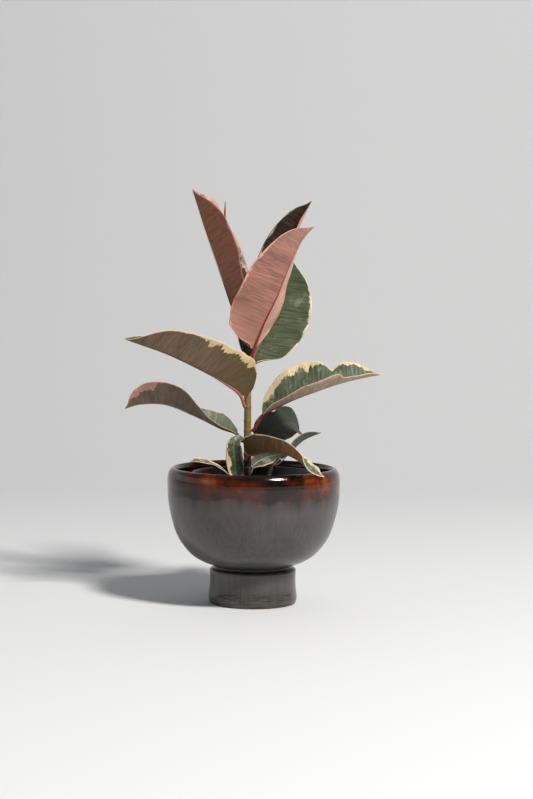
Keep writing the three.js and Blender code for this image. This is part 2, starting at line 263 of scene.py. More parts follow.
eye = bpy.data.objects.new("camera", bpy.data.cameras.new("camera"))
bpy.context.scene.collection.objects.link(eye)
turn = Matrix.Rotation(-math.radians(camera["turn"]), 4, "Z")
tilt = Matrix.Rotation(math.radians(90 - camera["tilt"]), 4, "X")
roll = Matrix.Rotation(math.radians(camera["roll"]), 4, "Z")
eye.matrix_world = Matrix.Translation(camera["place"]) @ turn @ tilt @ roll
eye.data.lens = camera["lens"]
eye.data.sensor_width = 36
eye.data.clip_start = 0.05
eye.data.clip_end = 60
bpy.context.scene.camera = eye
bpy.context.scene.view_settings.view_transform = "Standard"

middle = Vector((0, 0, 0.17))
towards = Vector(studio["keyDirection"]).normalized()
key = bpy.data.objects.new("keyLight", bpy.data.lights.new("keyLight", "AREA"))
key.data.shape = "DISK"
key.data.size = studio["keySize"]
key.data.energy = studio["keyPower"]
key.data.color = (1.0, 0.97, 0.93)
key.matrix_world = Matrix.Translation(middle + towards * studio["keyDistance"])
key.rotation_euler = towards.to_track_quat("Z", "Y").to_euler()
bpy.context.scene.collection.objects.link(key)

panel = bpy.data.objects.new("sidePanel", bpy.data.lights.new("sidePanel", "AREA"))
panel.data.shape = "RECTANGLE"
panel.data.size, panel.data.size_y = studio["panelSize"]
panel.data.energy = studio["panelPower"]
panel.location = studio["panelPlace"]
panel.rotation_euler = (math.radians(90), 0, math.radians(-90))
bpy.context.scene.collection.objects.link(panel)

overhead = bpy.data.objects.new("overheadPanel", bpy.data.lights.new("overheadPanel", "AREA"))
overhead.data.shape = "SQUARE"
overhead.data.size = studio["topSize"]
overhead.data.energy = studio["topPower"]
overhead.location = (0, 0.2, studio["topHeight"])
bpy.context.scene.collection.objects.link(overhead)

sky = bpy.data.worlds.new("studioFill")
bpy.context.scene.world = sky
sky.use_nodes = True
sky.node_tree.nodes["Background"].inputs["Color"].default_value = linear(studio["fill"])
sky.node_tree.nodes["Background"].inputs["Strength"].default_value = studio["fillStrength"]


# seamless paper: flat where the bowl stands, then one wide curve up into the wall
def paperSweep():
    deselectAll()
    bpy.ops.mesh.primitive_plane_add(size=1)
    paper = bpy.context.object
    paper.name = "paperSweep"
    bpy.ops.object.mode_set(mode="EDIT")
    bpy.ops.mesh.select_all(action="SELECT")
    bpy.ops.mesh.merge(type="CENTER")
    bpy.ops.transform.translate(value=(-5, -4, 0))
    side = [(-4, 0), (0.9, 0)]
    for k in range(1, 13):
        angle = math.pi / 24 * k
        side.append((0.9 + 1.2 * math.sin(angle), 1.2 - 1.2 * math.cos(angle)))
    side.append((2.1, 6))
    for before, after in zip(side, side[1:]):
        step = (0, after[0] - before[0], after[1] - before[1])
        bpy.ops.mesh.extrude_region_move(TRANSFORM_OT_translate={"value": step})
    bpy.ops.mesh.select_all(action="SELECT")
    bpy.ops.mesh.extrude_region_move(TRANSFORM_OT_translate={"value": (10, 0, 0)})
    bpy.ops.mesh.select_all(action="SELECT")
    bpy.ops.mesh.normals_make_consistent(inside=False)
    bpy.ops.object.mode_set(mode="OBJECT")
    bpy.ops.object.shade_smooth()
    return paper


def studioPaper():
    # matt pale background paper, uncoated: no shine, one even tone with a faint fibre tooth
    mat = emptyMaterial("studioPaper")
    spot = addNode(mat, "TexCoord").outputs["Object"]
    tooth = addNode(mat, "TexNoise", {"Vector": spot, "Scale": 400, "Detail": 3})
    tone = addNode(mat, "ValToRGB", {"Fac": tooth.outputs[0]},
                   stops=[(0, "#e1e3e5"), (1, "#e5e7e9")]).outputs[0]
    finishMaterial(mat, {"Base Color": tone, "Roughness": 0.9, "Specular IOR Level": 0.1})
    return mat


paper = paperSweep()
paper.data.materials.append(studioPaper())
print("camera, lights and paper are set")


bowl = {
    "radius": 80,
    "footHeight": 34,
    "height": 126,
    "throwRings": 0.10,      # mm
    "wobble": 0.35,          # mm out of round
    "bandFoot": 103,         # mm, mean height of the iron band's lower edge
}
bowlSide = [
    (0.575, 0.053), (0.650, 0.086), (0.725, 0.133), (0.800, 0.205), (0.863, 0.285), (0.913, 0.382),
    (0.954, 0.506), (0.985, 0.646), (0.998, 0.786), (1.000, 0.880), (0.993, 0.930), (0.974, 0.972),
    (0.950, 0.994), (0.925, 1.000),
]
bowlFoot = [
    (0.01, 31), (14, 30.8), (25, 30.4), (30.5, 29.2), (31.8, 26.5), (32.4, 18), (32.7, 3.4),
    (33.6, 0.8), (34.9, 0), (37.4, 0), (39.3, 0.2), (40.4, 1.3), (40.9, 3.5), (41.2, 6), (41.0, 8.4),
    (40.4, 11), (39.9, 17), (39.8, 24), (40.0, 28), (40.2, 30.4), (39.9, 31.7), (39.0, 32.4),
    (37.4, 32.8), (36.3, 33.3), (35.9, 34.4), (36.6, 35.7), (38.6, 36.6), (41.0, 37.2), (43.6, 37.9),
]
bowlInside = [
    (73, 124.8), (71.9, 122), (71.6, 117), (70.3, 93.8), (67.8, 80), (64.6, 69), (59.1, 58.8),
    (53.1, 51.5), (45.6, 45.5), (38.5, 44.1), (20, 44), (0.01, 44),
]


def makeBowl():
    rise = bowl["height"] - bowl["footHeight"]
    side = [(bowl["radius"] * r, bowl["footHeight"] + rise * z) for r, z in bowlSide]
    upper = [(p.x, p.z) for p in lineThrough([(r, 0, z) for r, z in side + bowlInside[:3]], 3)]
    lower = [(p.x, p.z) for p in lineThrough([(r, 0, z) for r, z in bowlInside[2:]], 2)]
    piece = turnedPiece("planterBowl", bowlFoot + upper + lower[1:], 112)
    for vertex in piece.data.vertices:
        x, y, z = (c / mm for c in vertex.co)
        radius = math.hypot(x, y)
        if radius < 1:
            continue
        angle = math.atan2(y, x)
        free = easeBetween(0, 8, z)
        ring = bowl["throwRings"] * math.sin(z * 2 * math.pi / 4.6 + 0.8 * math.sin(angle + z / 19))
        ring *= easeBetween(36, 44, z) * (1 - 0.6 * easeBetween(118, 126, z))
        swell = bowl["wobble"] * noise.noise((math.cos(angle) * 1.1, math.sin(angle) * 1.1, z / 60))
        nick = -0.35 * math.exp(-((z - 7.2) / 0.8) ** 2) * easeBetween(-0.2, 0.5, math.sin(angle + 1.24))
        grow = 1 + (ring + swell * free + nick * (radius > 38)) / radius * (radius > 30)
        lift = 0.3 * noise.noise((math.cos(angle) * 0.9, math.sin(angle) * 0.9, 5)) * easeBetween(60, 126, z)
        vertex.co = Vector((x * grow, y * grow, z + lift)) * mm
    smoothOver(piece, 1)
    return piece


def reactiveGlaze():
    # stoneware under a grey satin glaze with an iron band at the rim: soft shine, streaks that
    # run down, amber where the glaze is thin over the lip and near black where it pools
    mat = emptyMaterial("ironGlazedStoneware")
    spot = addNode(mat, "TexCoord").outputs["Object"]
    place = addNode(mat, "SeparateXYZ", {0: spot})
    height = addNode(mat, "Math", {0: place.outputs[2], 1: 1000}, operation="MULTIPLY").outputs[0]
    out = addNode(mat, "VectorMath", {0: spot, 1: (1, 1, 0)}, operation="MULTIPLY")
    radius = addNode(mat, "VectorMath", {0: out.outputs[0]}, operation="LENGTH").outputs["Value"]
    way = addNode(mat, "VectorMath", {0: out.outputs[0]}, operation="NORMALIZE").outputs[0]

    # runs: fine streaks 2-3 mm wide that stretch down the wall
    tall = addNode(mat, "VectorMath", {0: spot, 1: (420, 420, 28)}, operation="MULTIPLY")
    runs = addNode(mat, "TexNoise", {"Vector": tall.outputs[0], "Scale": 1, "Detail": 4, "Roughness": 0.6})
    broad = addNode(mat, "VectorMath", {0: spot, 1: (34, 34, 20)}, operation="MULTIPLY")
    clouds = addNode(mat, "TexNoise", {"Vector": broad.outputs[0], "Scale": 1, "Detail": 3,
                                       "Roughness": 0.55})
    specks = addNode(mat, "TexNoise", {"Vector": spot, "Scale": 1400, "Detail": 2})

    greyRuns = addNode(mat, "ValToRGB", {"Fac": runs.outputs[0]},
                       stops=[(0.30, "#34342f"), (0.5, "#45443f"), (0.72, "#59584f")])
    mauve = addNode(mat, "ValToRGB", {"Fac": clouds.outputs[0]},
                    stops=[(0.35, "#3e403b"), (0.5, "#4a4845"), (0.68, "#554c4d")])
    body = addNode(mat, "Mix", {0: 0.55, 6: greyRuns.outputs[0], 7: mauve.outputs[0]}, data_type="RGBA")

    # mauve breath of iron right under the band
    breath = addNode(mat, "MapRange", {0: height, 1: 80, 2: 106, 4: 0.8}, interpolation_type="SMOOTHSTEP")
    breathed = addNode(mat, "Mix", {0: breath.outputs[0], 6: body.outputs[2], 7: "#574b4d"},
                       data_type="RGBA")

    # band edge: mean height, a slow wave and short drips
    slow = addNode(mat, "TexNoise", {"Vector": way, "Scale": 2.1, "Detail": 1})
    dripsAt = addNode(mat, "VectorMath", {0: way, 1: (9, 9, 0)}, operation="MULTIPLY")
    drips = addNode(mat, "TexNoise", {"Vector": dripsAt.outputs[0], "Scale": 1, "Detail": 2,
                                      "Roughness": 0.45})
    wave = addNode(mat, "Math", {0: slow.outputs[0], 1: -14}, operation="MULTIPLY").outputs[0]
    drop = addNode(mat, "Math", {0: drips.outputs[0], 1: -6}, operation="MULTIPLY").outputs[0]
    edge = addNode(mat, "Math", {0: wave, 1: drop}, operation="ADD").outputs[0]
    edge = addNode(mat, "Math", {0: edge, 1: bowl["bandFoot"] + 9.5}, operation="ADD").outputs[0]
    above = addNode(mat, "Math", {0: height, 1: edge}, operation="SUBTRACT").outputs[0]
    band = addNode(mat, "MapRange", {0: above, 1: -2.2, 2: 1.8}, interpolation_type="SMOOTHSTEP").outputs[0]
    # a dark smear where the iron bled into the grey
    smear = addNode(mat, "MapRange", {0: above, 1: -14, 2: 0, 4: 1.1},
                    interpolation_type="SMOOTHSTEP").outputs[0]
    smear = addNode(mat, "Math", {0: smear, 1: drips.outputs[0]}, operation="MULTIPLY").outputs[0]
    breathed = addNode(mat, "Mix", {0: smear, 6: breathed.outputs[2], 7: "#2b1e20"}, data_type="RGBA")

    flat = addNode(mat, "VectorMath", {0: spot, 1: (34, 34, 42)}, operation="MULTIPLY")
    pools = addNode(mat, "TexNoise", {"Vector": flat.outputs[0], "Scale": 1, "Detail": 3, "Roughness": 0.6})
    thin = addNode(mat, "MapRange", {0: height, 1: 102, 2: 119, 3: -0.10, 4: 0.07}).outputs[0]
    lip = addNode(mat, "MapRange", {0: height, 1: 120, 2: 123.5, 3: 0, 4: -0.10}).outputs[0]
    # one thin amber side facing the key lamp, partly real glaze and partly painted light, and a dark pool
    # beside it
    toKeySide = addNode(mat, "VectorMath", {0: way, 1: (0.67, -0.74, 0)},
                      operation="DOT_PRODUCT").outputs["Value"]
    amberAndLitSide = addNode(mat, "MapRange", {0: toKeySide, 1: 0.86, 2: 0.98, 3: 0, 4: 0.09}).outputs[0]
    toPool = addNode(mat, "VectorMath", {0: way, 1: (0.24, -0.97, 0)},
                     operation="DOT_PRODUCT").outputs["Value"]
    pooled = addNode(mat, "MapRange", {0: toPool, 1: 0.984, 2: 0.997, 3: 0, 4: -0.12}).outputs[0]
    ironAt = pools.outputs[0]
    for part in (thin, lip, amberAndLitSide, pooled):
        ironAt = addNode(mat, "Math", {0: ironAt, 1: part}, operation="ADD").outputs[0]
    iron = addNode(mat, "ValToRGB", {"Fac": ironAt},
                   stops=[(0.32, "#0c0402"), (0.44, "#2a0c04"), (0.56, "#4c1b05"), (0.72, "#8a3e08")])
    outside = addNode(mat, "Mix", {0: band, 6: breathed.outputs[2], 7: iron.outputs[0]}, data_type="RGBA")

    # inside wall: iron glaze, dark and wet looking
    within = addNode(mat, "Math", {0: radius, 1: 0.0722}, operation="LESS_THAN").outputs[0]
    innerTone = addNode(mat, "ValToRGB", {"Fac": pools.outputs[0]},
                        stops=[(0.35, "#0a0302"), (0.55, "#200803"), (0.75, "#421405")])
    rimOnly = addNode(mat, "MapRange", {0: height, 1: 108, 2: 112},
                      interpolation_type="SMOOTHSTEP").outputs[0]
    innerUp = addNode(mat, "Math", {0: within, 1: rimOnly}, operation="MULTIPLY").outputs[0]
    withInner = addNode(mat, "Mix", {0: innerUp, 6: outside.outputs[2], 7: innerTone.outputs[0]},
                        data_type="RGBA")

    # foot: brown where the glaze breaks over the edge, bare orange clay on the ring that stands
    cut = addNode(mat, "VectorMath", {0: spot, 1: (55, 55, 900)}, operation="MULTIPLY")
    scratch = addNode(mat, "TexNoise", {"Vector": cut.outputs[0], "Scale": 1, "Detail": 2})
    lines = addNode(mat, "MapRange", {0: scratch.outputs[0], 1: 0.52, 2: 0.58, 3: 0, 4: 0.9}).outputs[0]
    onFoot = addNode(mat, "MapRange", {0: height, 1: 15, 2: 10}, interpolation_type="SMOOTHSTEP").outputs[0]
    lines = addNode(mat, "Math", {0: lines, 1: onFoot}, operation="MULTIPLY").outputs[0]
    withInner = addNode(mat, "Mix", {0: lines, 6: withInner.outputs[2], 7: "#2a1d18"}, data_type="RGBA")
    ragged = addNode(mat, "Math", {0: clouds.outputs[0], 1: 2.4}, operation="MULTIPLY").outputs[0]
    # painted shade: the glaze is darkened in the recess between the bowl's underside and the top of the foot
    neckShade = addNode(mat, "MapRange", {0: radius, 1: 0.0475, 2: 0.0425},
                   interpolation_type="SMOOTHSTEP").outputs[0]
    aboveFoot = addNode(mat, "MapRange", {0: height, 1: 30.8, 2: 32.2}).outputs[0]
    underBowl = addNode(mat, "MapRange", {0: height, 1: 40.6, 2: 38.8}).outputs[0]
    neckShade = addNode(mat, "Math", {0: neckShade, 1: aboveFoot}, operation="MULTIPLY").outputs[0]
    neckShade = addNode(mat, "Math", {0: neckShade, 1: underBowl}, operation="MULTIPLY").outputs[0]
    withInner = addNode(mat, "Mix", {0: neckShade, 6: withInner.outputs[2], 7: "#32322b"}, data_type="RGBA")
    low = addNode(mat, "Math", {0: height, 1: ragged}, operation="SUBTRACT").outputs[0]
    bare = addNode(mat, "MapRange", {0: low, 1: 0.1, 2: -0.5}, interpolation_type="SMOOTHSTEP").outputs[0]
    footed = addNode(mat, "Mix", {0: bare, 6: withInner.outputs[2], 7: "#6b4a38"}, data_type="RGBA")

    shine = addNode(mat, "MapRange", {0: band, 3: 0.32, 4: 0.14})
    dull = addNode(mat, "Mix", {0: bare, 2: shine.outputs[0], 3: 0.75}, data_type="FLOAT")
    grain = addNode(mat, "Math", {0: runs.outputs[0], 1: specks.outputs[0]}, operation="ADD").outputs[0]
    bump = addNode(mat, "Bump", {"Height": grain, "Strength": 0.12, "Distance": 0.0004})
    finishMaterial(mat, {"Base Color": footed.outputs[2], "Roughness": dull.outputs[0], "IOR": 1.44,
                         "Normal": bump.outputs[0], "Coat Weight": 0.22, "Coat Roughness": 0.08})
    return mat


bowlPiece = makeBowl()
bowlPiece.data.materials.append(reactiveGlaze())
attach(bowlPiece, "root")
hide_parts("planter_bowl")
print("bowl is turned and glazed")


pot = {
    "holes": 6,
    "holeRadius": 4,
    "holeRing": 22.9,
}
potProfile = [
    (0.01, 45.5), (15, 45.5), (30, 45.5), (31.3, 45.2), (32.4, 44.4), (34, 44.3), (35.7, 44.3),
    (36.6, 44.7), (37.1, 45.7), (37.6, 48), (39.3, 55), (42.9, 70), (46.5, 85), (50.1, 100),
    (53.8, 112.6), (54.9, 113.2), (57.1, 113.6), (57.5, 114.2), (57.5, 117), (57.5, 120.4),
    (57.1, 121.4), (56.4, 121.7), (55.6, 121.6), (54.9, 121.0), (54.5, 119), (53.2, 112.9), (50.2, 100),
    (46.6, 85), (43.0, 70), (39.4, 55), (37.4, 48.2), (36.8, 47.3), (35.2, 47.1), (20, 47.1),
    (0.01, 47.1),
]


def makePot():
    piece = turnedPiece("nurseryPot", potProfile, 96)
    # drain holes: punched through the floor
    for k in range(pot["holes"]):
        angle = 2 * math.pi * k / pot["holes"]
        spot = Vector((math.cos(angle), math.sin(angle), 0)) * pot["holeRing"] * mm
        deselectAll()
        bpy.ops.mesh.primitive_cylinder_add(vertices=24, radius=pot["holeRadius"] * mm, depth=8 * mm,
                                            location=spot + Vector((0, 0, 46.3 * mm)))
        punch = bpy.context.object
        applyModifier(piece, "BOOLEAN", object=punch, operation="DIFFERENCE", solver="EXACT")
        bpy.data.objects.remove(punch)
    return piece


def mouldedPolypropylene():
    # black polypropylene, injection moulded: low sheen, faint flow marks, dust in the pores
    mat = emptyMaterial("mouldedBlackPolypropylene")
    spot = addNode(mat, "TexCoord").outputs["Object"]
    pores = addNode(mat, "TexNoise", {"Vector": spot, "Scale": 900, "Detail": 3})
    dustAt = addNode(mat, "TexNoise", {"Vector": spot, "Scale": 60, "Detail": 5, "Roughness": 0.7})
    dust = addNode(mat, "MapRange", {0: dustAt.outputs[0], 1: 0.5, 2: 0.8, 3: 0, 4: 0.5})
    tone = addNode(mat, "Mix", {0: dust.outputs[0], 6: "#0e0d0e", 7: "#1f1d1c"}, data_type="RGBA")
    rough = addNode(mat, "MapRange", {0: dustAt.outputs[0], 3: 0.28, 4: 0.52})
    bump = addNode(mat, "Bump", {"Height": pores.outputs[0], "Strength": 0.15, "Distance": 0.0003})
    finishMaterial(mat, {"Base Color": tone.outputs[2], "Roughness": rough.outputs[0], "IOR": 1.49,
                         "Normal": bump.outputs[0]})
    return mat


potPiece = makePot()
potPiece.data.materials.append(mouldedPolypropylene())
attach(potPiece, "root")
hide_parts("nursery_pot")
print("nursery pot is moulded")


soilLevel = 112.2      # mm above the floor, at the stem
soil = {
    "stemHoles": ((-5.5, 0, 3.7), (13, 1, 2.4)),      # x, y, radius
    "rootDepth": 35,
    "chips": 150,
    "perlite": 60,
    "seed": 7,
}


def potRadiusAt(z):
    return 36.7 + (53.2 - 36.7) * (z - 47.4) / (112.9 - 47.4)


def soilHeight(x, y):
    lumps = noise.noise((x / 9, y / 9, 3)) * 0.9 + noise.noise((x / 3.2, y / 3.2, 8)) * 0.45
    heap = 0.5 * math.exp(-(x * x + y * y) / 300)
    return soilLevel - 0.8 + heap + lumps * 0.8


def makeSoil():
    profile = [(0.01, 47.5), (18, 47.5), (34.5, 47.5), (35.6, 48.2)]
    profile += [(potRadiusAt(z) - 0.6, z) for z in (56, 66, 76, 86, 96, 104, 108.5)]
    profile += [(potRadiusAt(110.3) - 0.7, 110.3)]
    top = potRadiusAt(110.3) - 1.6
    profile += [(top * k / 22, 111) for k in range(22, 0, -1)] + [(0.01, 111)]
    piece = turnedPiece("pottingSoil", profile, 96)
    for vertex in piece.data.vertices:
        x, y, z = (c / mm for c in vertex.co)
        if z > 110.9:
            fade = 1 - easeBetween(top - 3, top, math.hypot(x, y))
            vertex.co.z = (110.6 + (soilHeight(x, y) - 110.6) * fade) * mm
    for x, y, radius in soil["stemHoles"]:
        deselectAll()
        depth = soil["rootDepth"] + 6
        bpy.ops.mesh.primitive_cylinder_add(vertices=20, radius=radius * mm, depth=depth * mm,
                                            location=(x * mm, y * mm, (soilLevel + 6 - depth / 2) * mm))
        post = bpy.context.object
        applyModifier(piece, "BOOLEAN", object=post, operation="DIFFERENCE", solver="EXACT")
        bpy.data.objects.remove(post)
    return piece


# the same run of numbers every time
def steadyNumbers(seed):
    state = [seed * 7919 + 17]

    def step():
        state[0] = (state[0] * 1103515245 + 12345) % 2147483648
        return state[0] / 2147483648
    return step


# a handful of loose pieces on the soil: bark, peat crumbs or perlite, each a small cut lump
def scatterCrumbs(name, count, sizes, flatness, seed, lift):
    random = steadyNumbers(seed)
    deselectAll()
    bpy.ops.mesh.primitive_ico_sphere_add(subdivisions=1, radius=1)
    lump = bpy.context.object
    base = [vertex.co.copy() for vertex in lump.data.vertices]
    faces = [tuple(face.vertices) for face in lump.data.polygons]
    spots, corners = [], []
    while len(spots) < count * len(base):
        angle = random() * 2 * math.pi
        radius = 50 * math.sqrt(random())
        x, y = radius * math.cos(angle), radius * math.sin(angle)
        size = sizes[0] + (sizes[1] - sizes[0]) * random() ** 2
        holes = [math.hypot(x - hx, y - hy) < hr + size + 0.4 for hx, hy, hr in soil["stemHoles"]]
        if any(holes):
            continue
        turnZ = Matrix.Rotation(random() * 6.28, 3, "Z")
        lean = Matrix.Rotation((random() - 0.5) * 0.8, 3, "X")
        squeeze = Matrix.Diagonal((1, 0.55 + 0.4 * random(), flatness))
        centre = Vector((x, y, soilHeight(x, y) + size * flatness * lift))
        start = len(spots)
        for corner in base:
            rough = 1 + 0.35 * noise.noise(corner * 1.3 + Vector((start, 0, 0)))
            spots.append((turnZ @ lean @ squeeze @ (corner * size * rough) + centre) * mm)
        corners += [tuple(i + start for i in face) for face in faces]
    mesh = bpy.data.meshes.new(name)
    mesh.from_pydata(spots, [], corners)
    mesh.update()
    bpy.data.objects.remove(lump)
    piece = bpy.data.objects.new(name, mesh)
    bpy.context.scene.collection.objects.link(piece)
    return piece


def peatSoil():
    # peat potting mix, damp: nearly black, dull, fine fibres, brown where it has dried
    mat = emptyMaterial("peatPottingMix")
    spot = addNode(mat, "TexCoord").outputs["Object"]
    clod = addNode(mat, "TexNoise", {"Vector": spot, "Scale": 180, "Detail": 6, "Roughness": 0.7})
    fibre = addNode(mat, "TexNoise", {"Vector": spot, "Scale": 900, "Detail": 3})
    tone = addNode(mat, "ValToRGB", {"Fac": clod.outputs[0]},
                   stops=[(0.3, "#0e0b09"), (0.5, "#221b15"), (0.72, "#423629")])
    rise = addNode(mat, "Math", {0: clod.outputs[0], 1: fibre.outputs[0]}, operation="ADD").outputs[0]
    bump = addNode(mat, "Bump", {"Height": rise, "Strength": 0.8, "Distance": 0.0008})
    finishMaterial(mat, {"Base Color": tone.outputs[0], "Roughness": 0.9, "Normal": bump.outputs[0]})
    return mat


def crumbFinish(name, dark, light, scale):
    mat = emptyMaterial(name)
    spot = addNode(mat, "TexCoord").outputs["Object"]
    grain = addNode(mat, "TexNoise", {"Vector": spot, "Scale": scale, "Detail": 4})
    tone = addNode(mat, "ValToRGB", {"Fac": grain.outputs[0]}, stops=[(0.35, dark), (0.65, light)])
    bump = addNode(mat, "Bump", {"Height": grain.outputs[0], "Strength": 0.6, "Distance": 0.0004})
    finishMaterial(mat, {"Base Color": tone.outputs[0], "Roughness": 0.85, "Normal": bump.outputs[0]})
    return mat


soilPiece = makeSoil()
soilPiece.data.materials.append(peatSoil())
barkChips = scatterCrumbs("barkChips", soil["chips"], (0.8, 2.6), 0.45, soil["seed"], 0.5)
# torn bark, fibrous
barkChips.data.materials.append(crumbFinish("compostedBark", "#1d140e", "#4a3523", 300))
perliteBits = scatterCrumbs("perliteBits", soil["perlite"], (0.5, 1.2), 0.8, soil["seed"] + 4, 0.4)
# foamed white grains
perliteBits.data.materials.append(crumbFinish("expandedPerlite", "#8d877b", "#c4bfb2", 500))
for piece in (soilPiece, barkChips, perliteBits):
    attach(piece, "root")
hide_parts("potting_soil")
print("soil is filled in")


# paths in mm from the soil under the stem; nodes are the heights where a leaf leaves or has left
stems = {
    "mainStem": {
        "node": "main_stem", "radius": 3.3, "tip": 0.82,
        "path": [(-5.5, 0, 0), (-5.8, 0, 14), (-6, 0, 39), (-6, 0, 67), (-6, 0, 90), (-4, 0, 108),
                 (-2.6, 0, 118)],
        "nodes": (4, 6, 13, 20, 26, 33, 38, 48, 57, 70, 79, 88, 96, 99, 103, 108),
        "tones": ("#1d150e", "#7d6733", "#a57f58", "#876252"),
    },
    "sideShoot": {
        "node": "side_shoot", "radius": 2.0, "tip": 0.82,
        "path": [(13, 1, 0), (14, 2, 5), (17, 4, 13), (24, 8, 21)],
        "nodes": (5, 15),
        "tones": ("#2a211c", "#3c3430", "#4a403a", "#4d3a34"),
    },
}


def onSoil(point):
    return Vector(point) + Vector((0, 0, soilLevel))


def stemLine(name):
    return lineThrough([onSoil(p) for p in stems[name]["path"]], 14)


def makeStem(name):
    look = stems[name]
    line = stemLine(name)
    root = onSoil(look["path"][0])
    buried = [root - Vector((0, 0, 34)), root - Vector((0, 0, 22)), root - Vector((0, 0, 10))]
    line = buried + line
    full = lineLength(line)

    def size(along, angle):
        height = alongLine(line, along)[0].z - soilLevel
        radius = look["radius"] * (1 - (1 - look["tip"]) * max(0, height) / 118)
        if height < -0.5:
            radius = look["radius"] * (0.8 + 0.2 * (34 + height) / 34)
        for mark in look["nodes"]:
            radius += 0.28 * math.exp(-((height - mark) / 1.1) ** 2)
            radius -= 0.12 * math.exp(-((height - mark - 2) / 0.9) ** 2)
        ridge = 0.10 * noise.noise((math.cos(angle) * 2, math.sin(angle) * 2, height / 9))
        return radius - 0.12 + ridge + look["radius"] * 0.15 * easeBetween(1, 12, height)
    return rodAlong(name, line, size, sides=20, rows=int(full / 0.9))


def youngBark(name, low, middle, high, flush):
    # green bark of a young rubber plant: waxy, khaki to olive, corky brown threads near the soil,
    # pink-brown rings where leaves sat
    mat = emptyMaterial(name)
    place = addNode(mat, "Attribute", attribute_name="veinMm").outputs["Vector"]
    spot = addNode(mat, "TexCoord").outputs["Object"]
    height = addNode(mat, "SeparateXYZ", {0: spot}).outputs[2]
    up = addNode(mat, "MapRange", {0: height, 1: 0.112, 2: 0.225}).outputs[0]
    tone = addNode(mat, "ValToRGB", {"Fac": up},
                   stops=[(0.19, low), (0.33, middle), (0.6, middle), (0.95, high)])
    threadsAt = addNode(mat, "VectorMath", {0: place, 1: (1.4, 0.22, 1)}, operation="MULTIPLY")
    threads = addNode(mat, "TexNoise", {"Vector": threadsAt.outputs[0], "Scale": 1, "Detail": 5,
                                        "Roughness": 0.65})
    patches = addNode(mat, "TexNoise", {"Vector": spot, "Scale": 130, "Detail": 3})
    cork = addNode(mat, "MapRange", {0: threads.outputs[0], 1: 0.5, 2: 0.72, 3: 0, 4: 0.55}).outputs[0]
    corked = addNode(mat, "Mix", {0: cork, 6: tone.outputs[0], 7: "#4d3a22"}, data_type="RGBA")
    blush = addNode(mat, "MapRange", {0: patches.outputs[0], 1: 0.5, 2: 0.75, 3: 0, 4: 0.6}).outputs[0]
    blushed = addNode(mat, "Mix", {0: blush, 6: corked.outputs[2], 7: flush}, data_type="RGBA")
    rise = addNode(mat, "Math", {0: threads.outputs[0], 1: patches.outputs[0]}, operation="ADD").outputs[0]
    bump = addNode(mat, "Bump", {"Height": rise, "Strength": 0.5, "Distance": 0.0005})
    finishMaterial(mat, {"Base Color": blushed.outputs[2], "Roughness": 0.5, "IOR": 1.45,
                         "Normal": bump.outputs[0]})
    return mat


for name, look in stems.items():
    piece = makeStem(name)
    piece.data.materials.append(youngBark(name + "Bark", *look["tones"]))
    smoothOver(piece, 1)
    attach(piece, "root")
    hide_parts(look["node"])
print("stems are grown")


# blade outline: share of the blade's length, share of its half width
bladeOutline = [
    (0.0, 0.05), (0.02, 0.16), (0.045, 0.30), (0.07, 0.42), (0.11, 0.57), (0.15, 0.70), (0.21, 0.82),
    (0.27, 0.91), (0.34, 0.965), (0.42, 1.0), (0.5, 1.0), (0.57, 0.98), (0.65, 0.91), (0.72, 0.82),
    (0.79, 0.69), (0.85, 0.55), (0.89, 0.41), (0.92, 0.28), (0.945, 0.16), (0.966, 0.085),
    (0.983, 0.045), (1.0, 0.012),
]

# colours by what they paint: the two tones of each face, the pale margin, the line along the edge
ruby = {
    "topDark": "#26301c", "topLight": "#4a5638", "topPale": "#d9c9ae", "blotch": "#8f9580",
    "backDark": "#8c5f55", "backLight": "#c08676", "backPale": "#d99a8a", "edge": "#e08f80",
    "rib": "#a3323a", "ribTop": "#8e3f3a", "stalk": "#8f2b33", "gloss": 0.38,
}
mature = {
    "topDark": "#3b4a34", "topLight": "#6d7a60", "topPale": "#e6d3a8", "blotch": "#98a08c",
    "backDark": "#5f5038", "backLight": "#84704f", "backPale": "#dcc394", "edge": "#f0d2ae",
    "rib": "#7a5f45", "ribTop": "#8f9a72", "stalk": "#a05048", "gloss": 0.36,
}

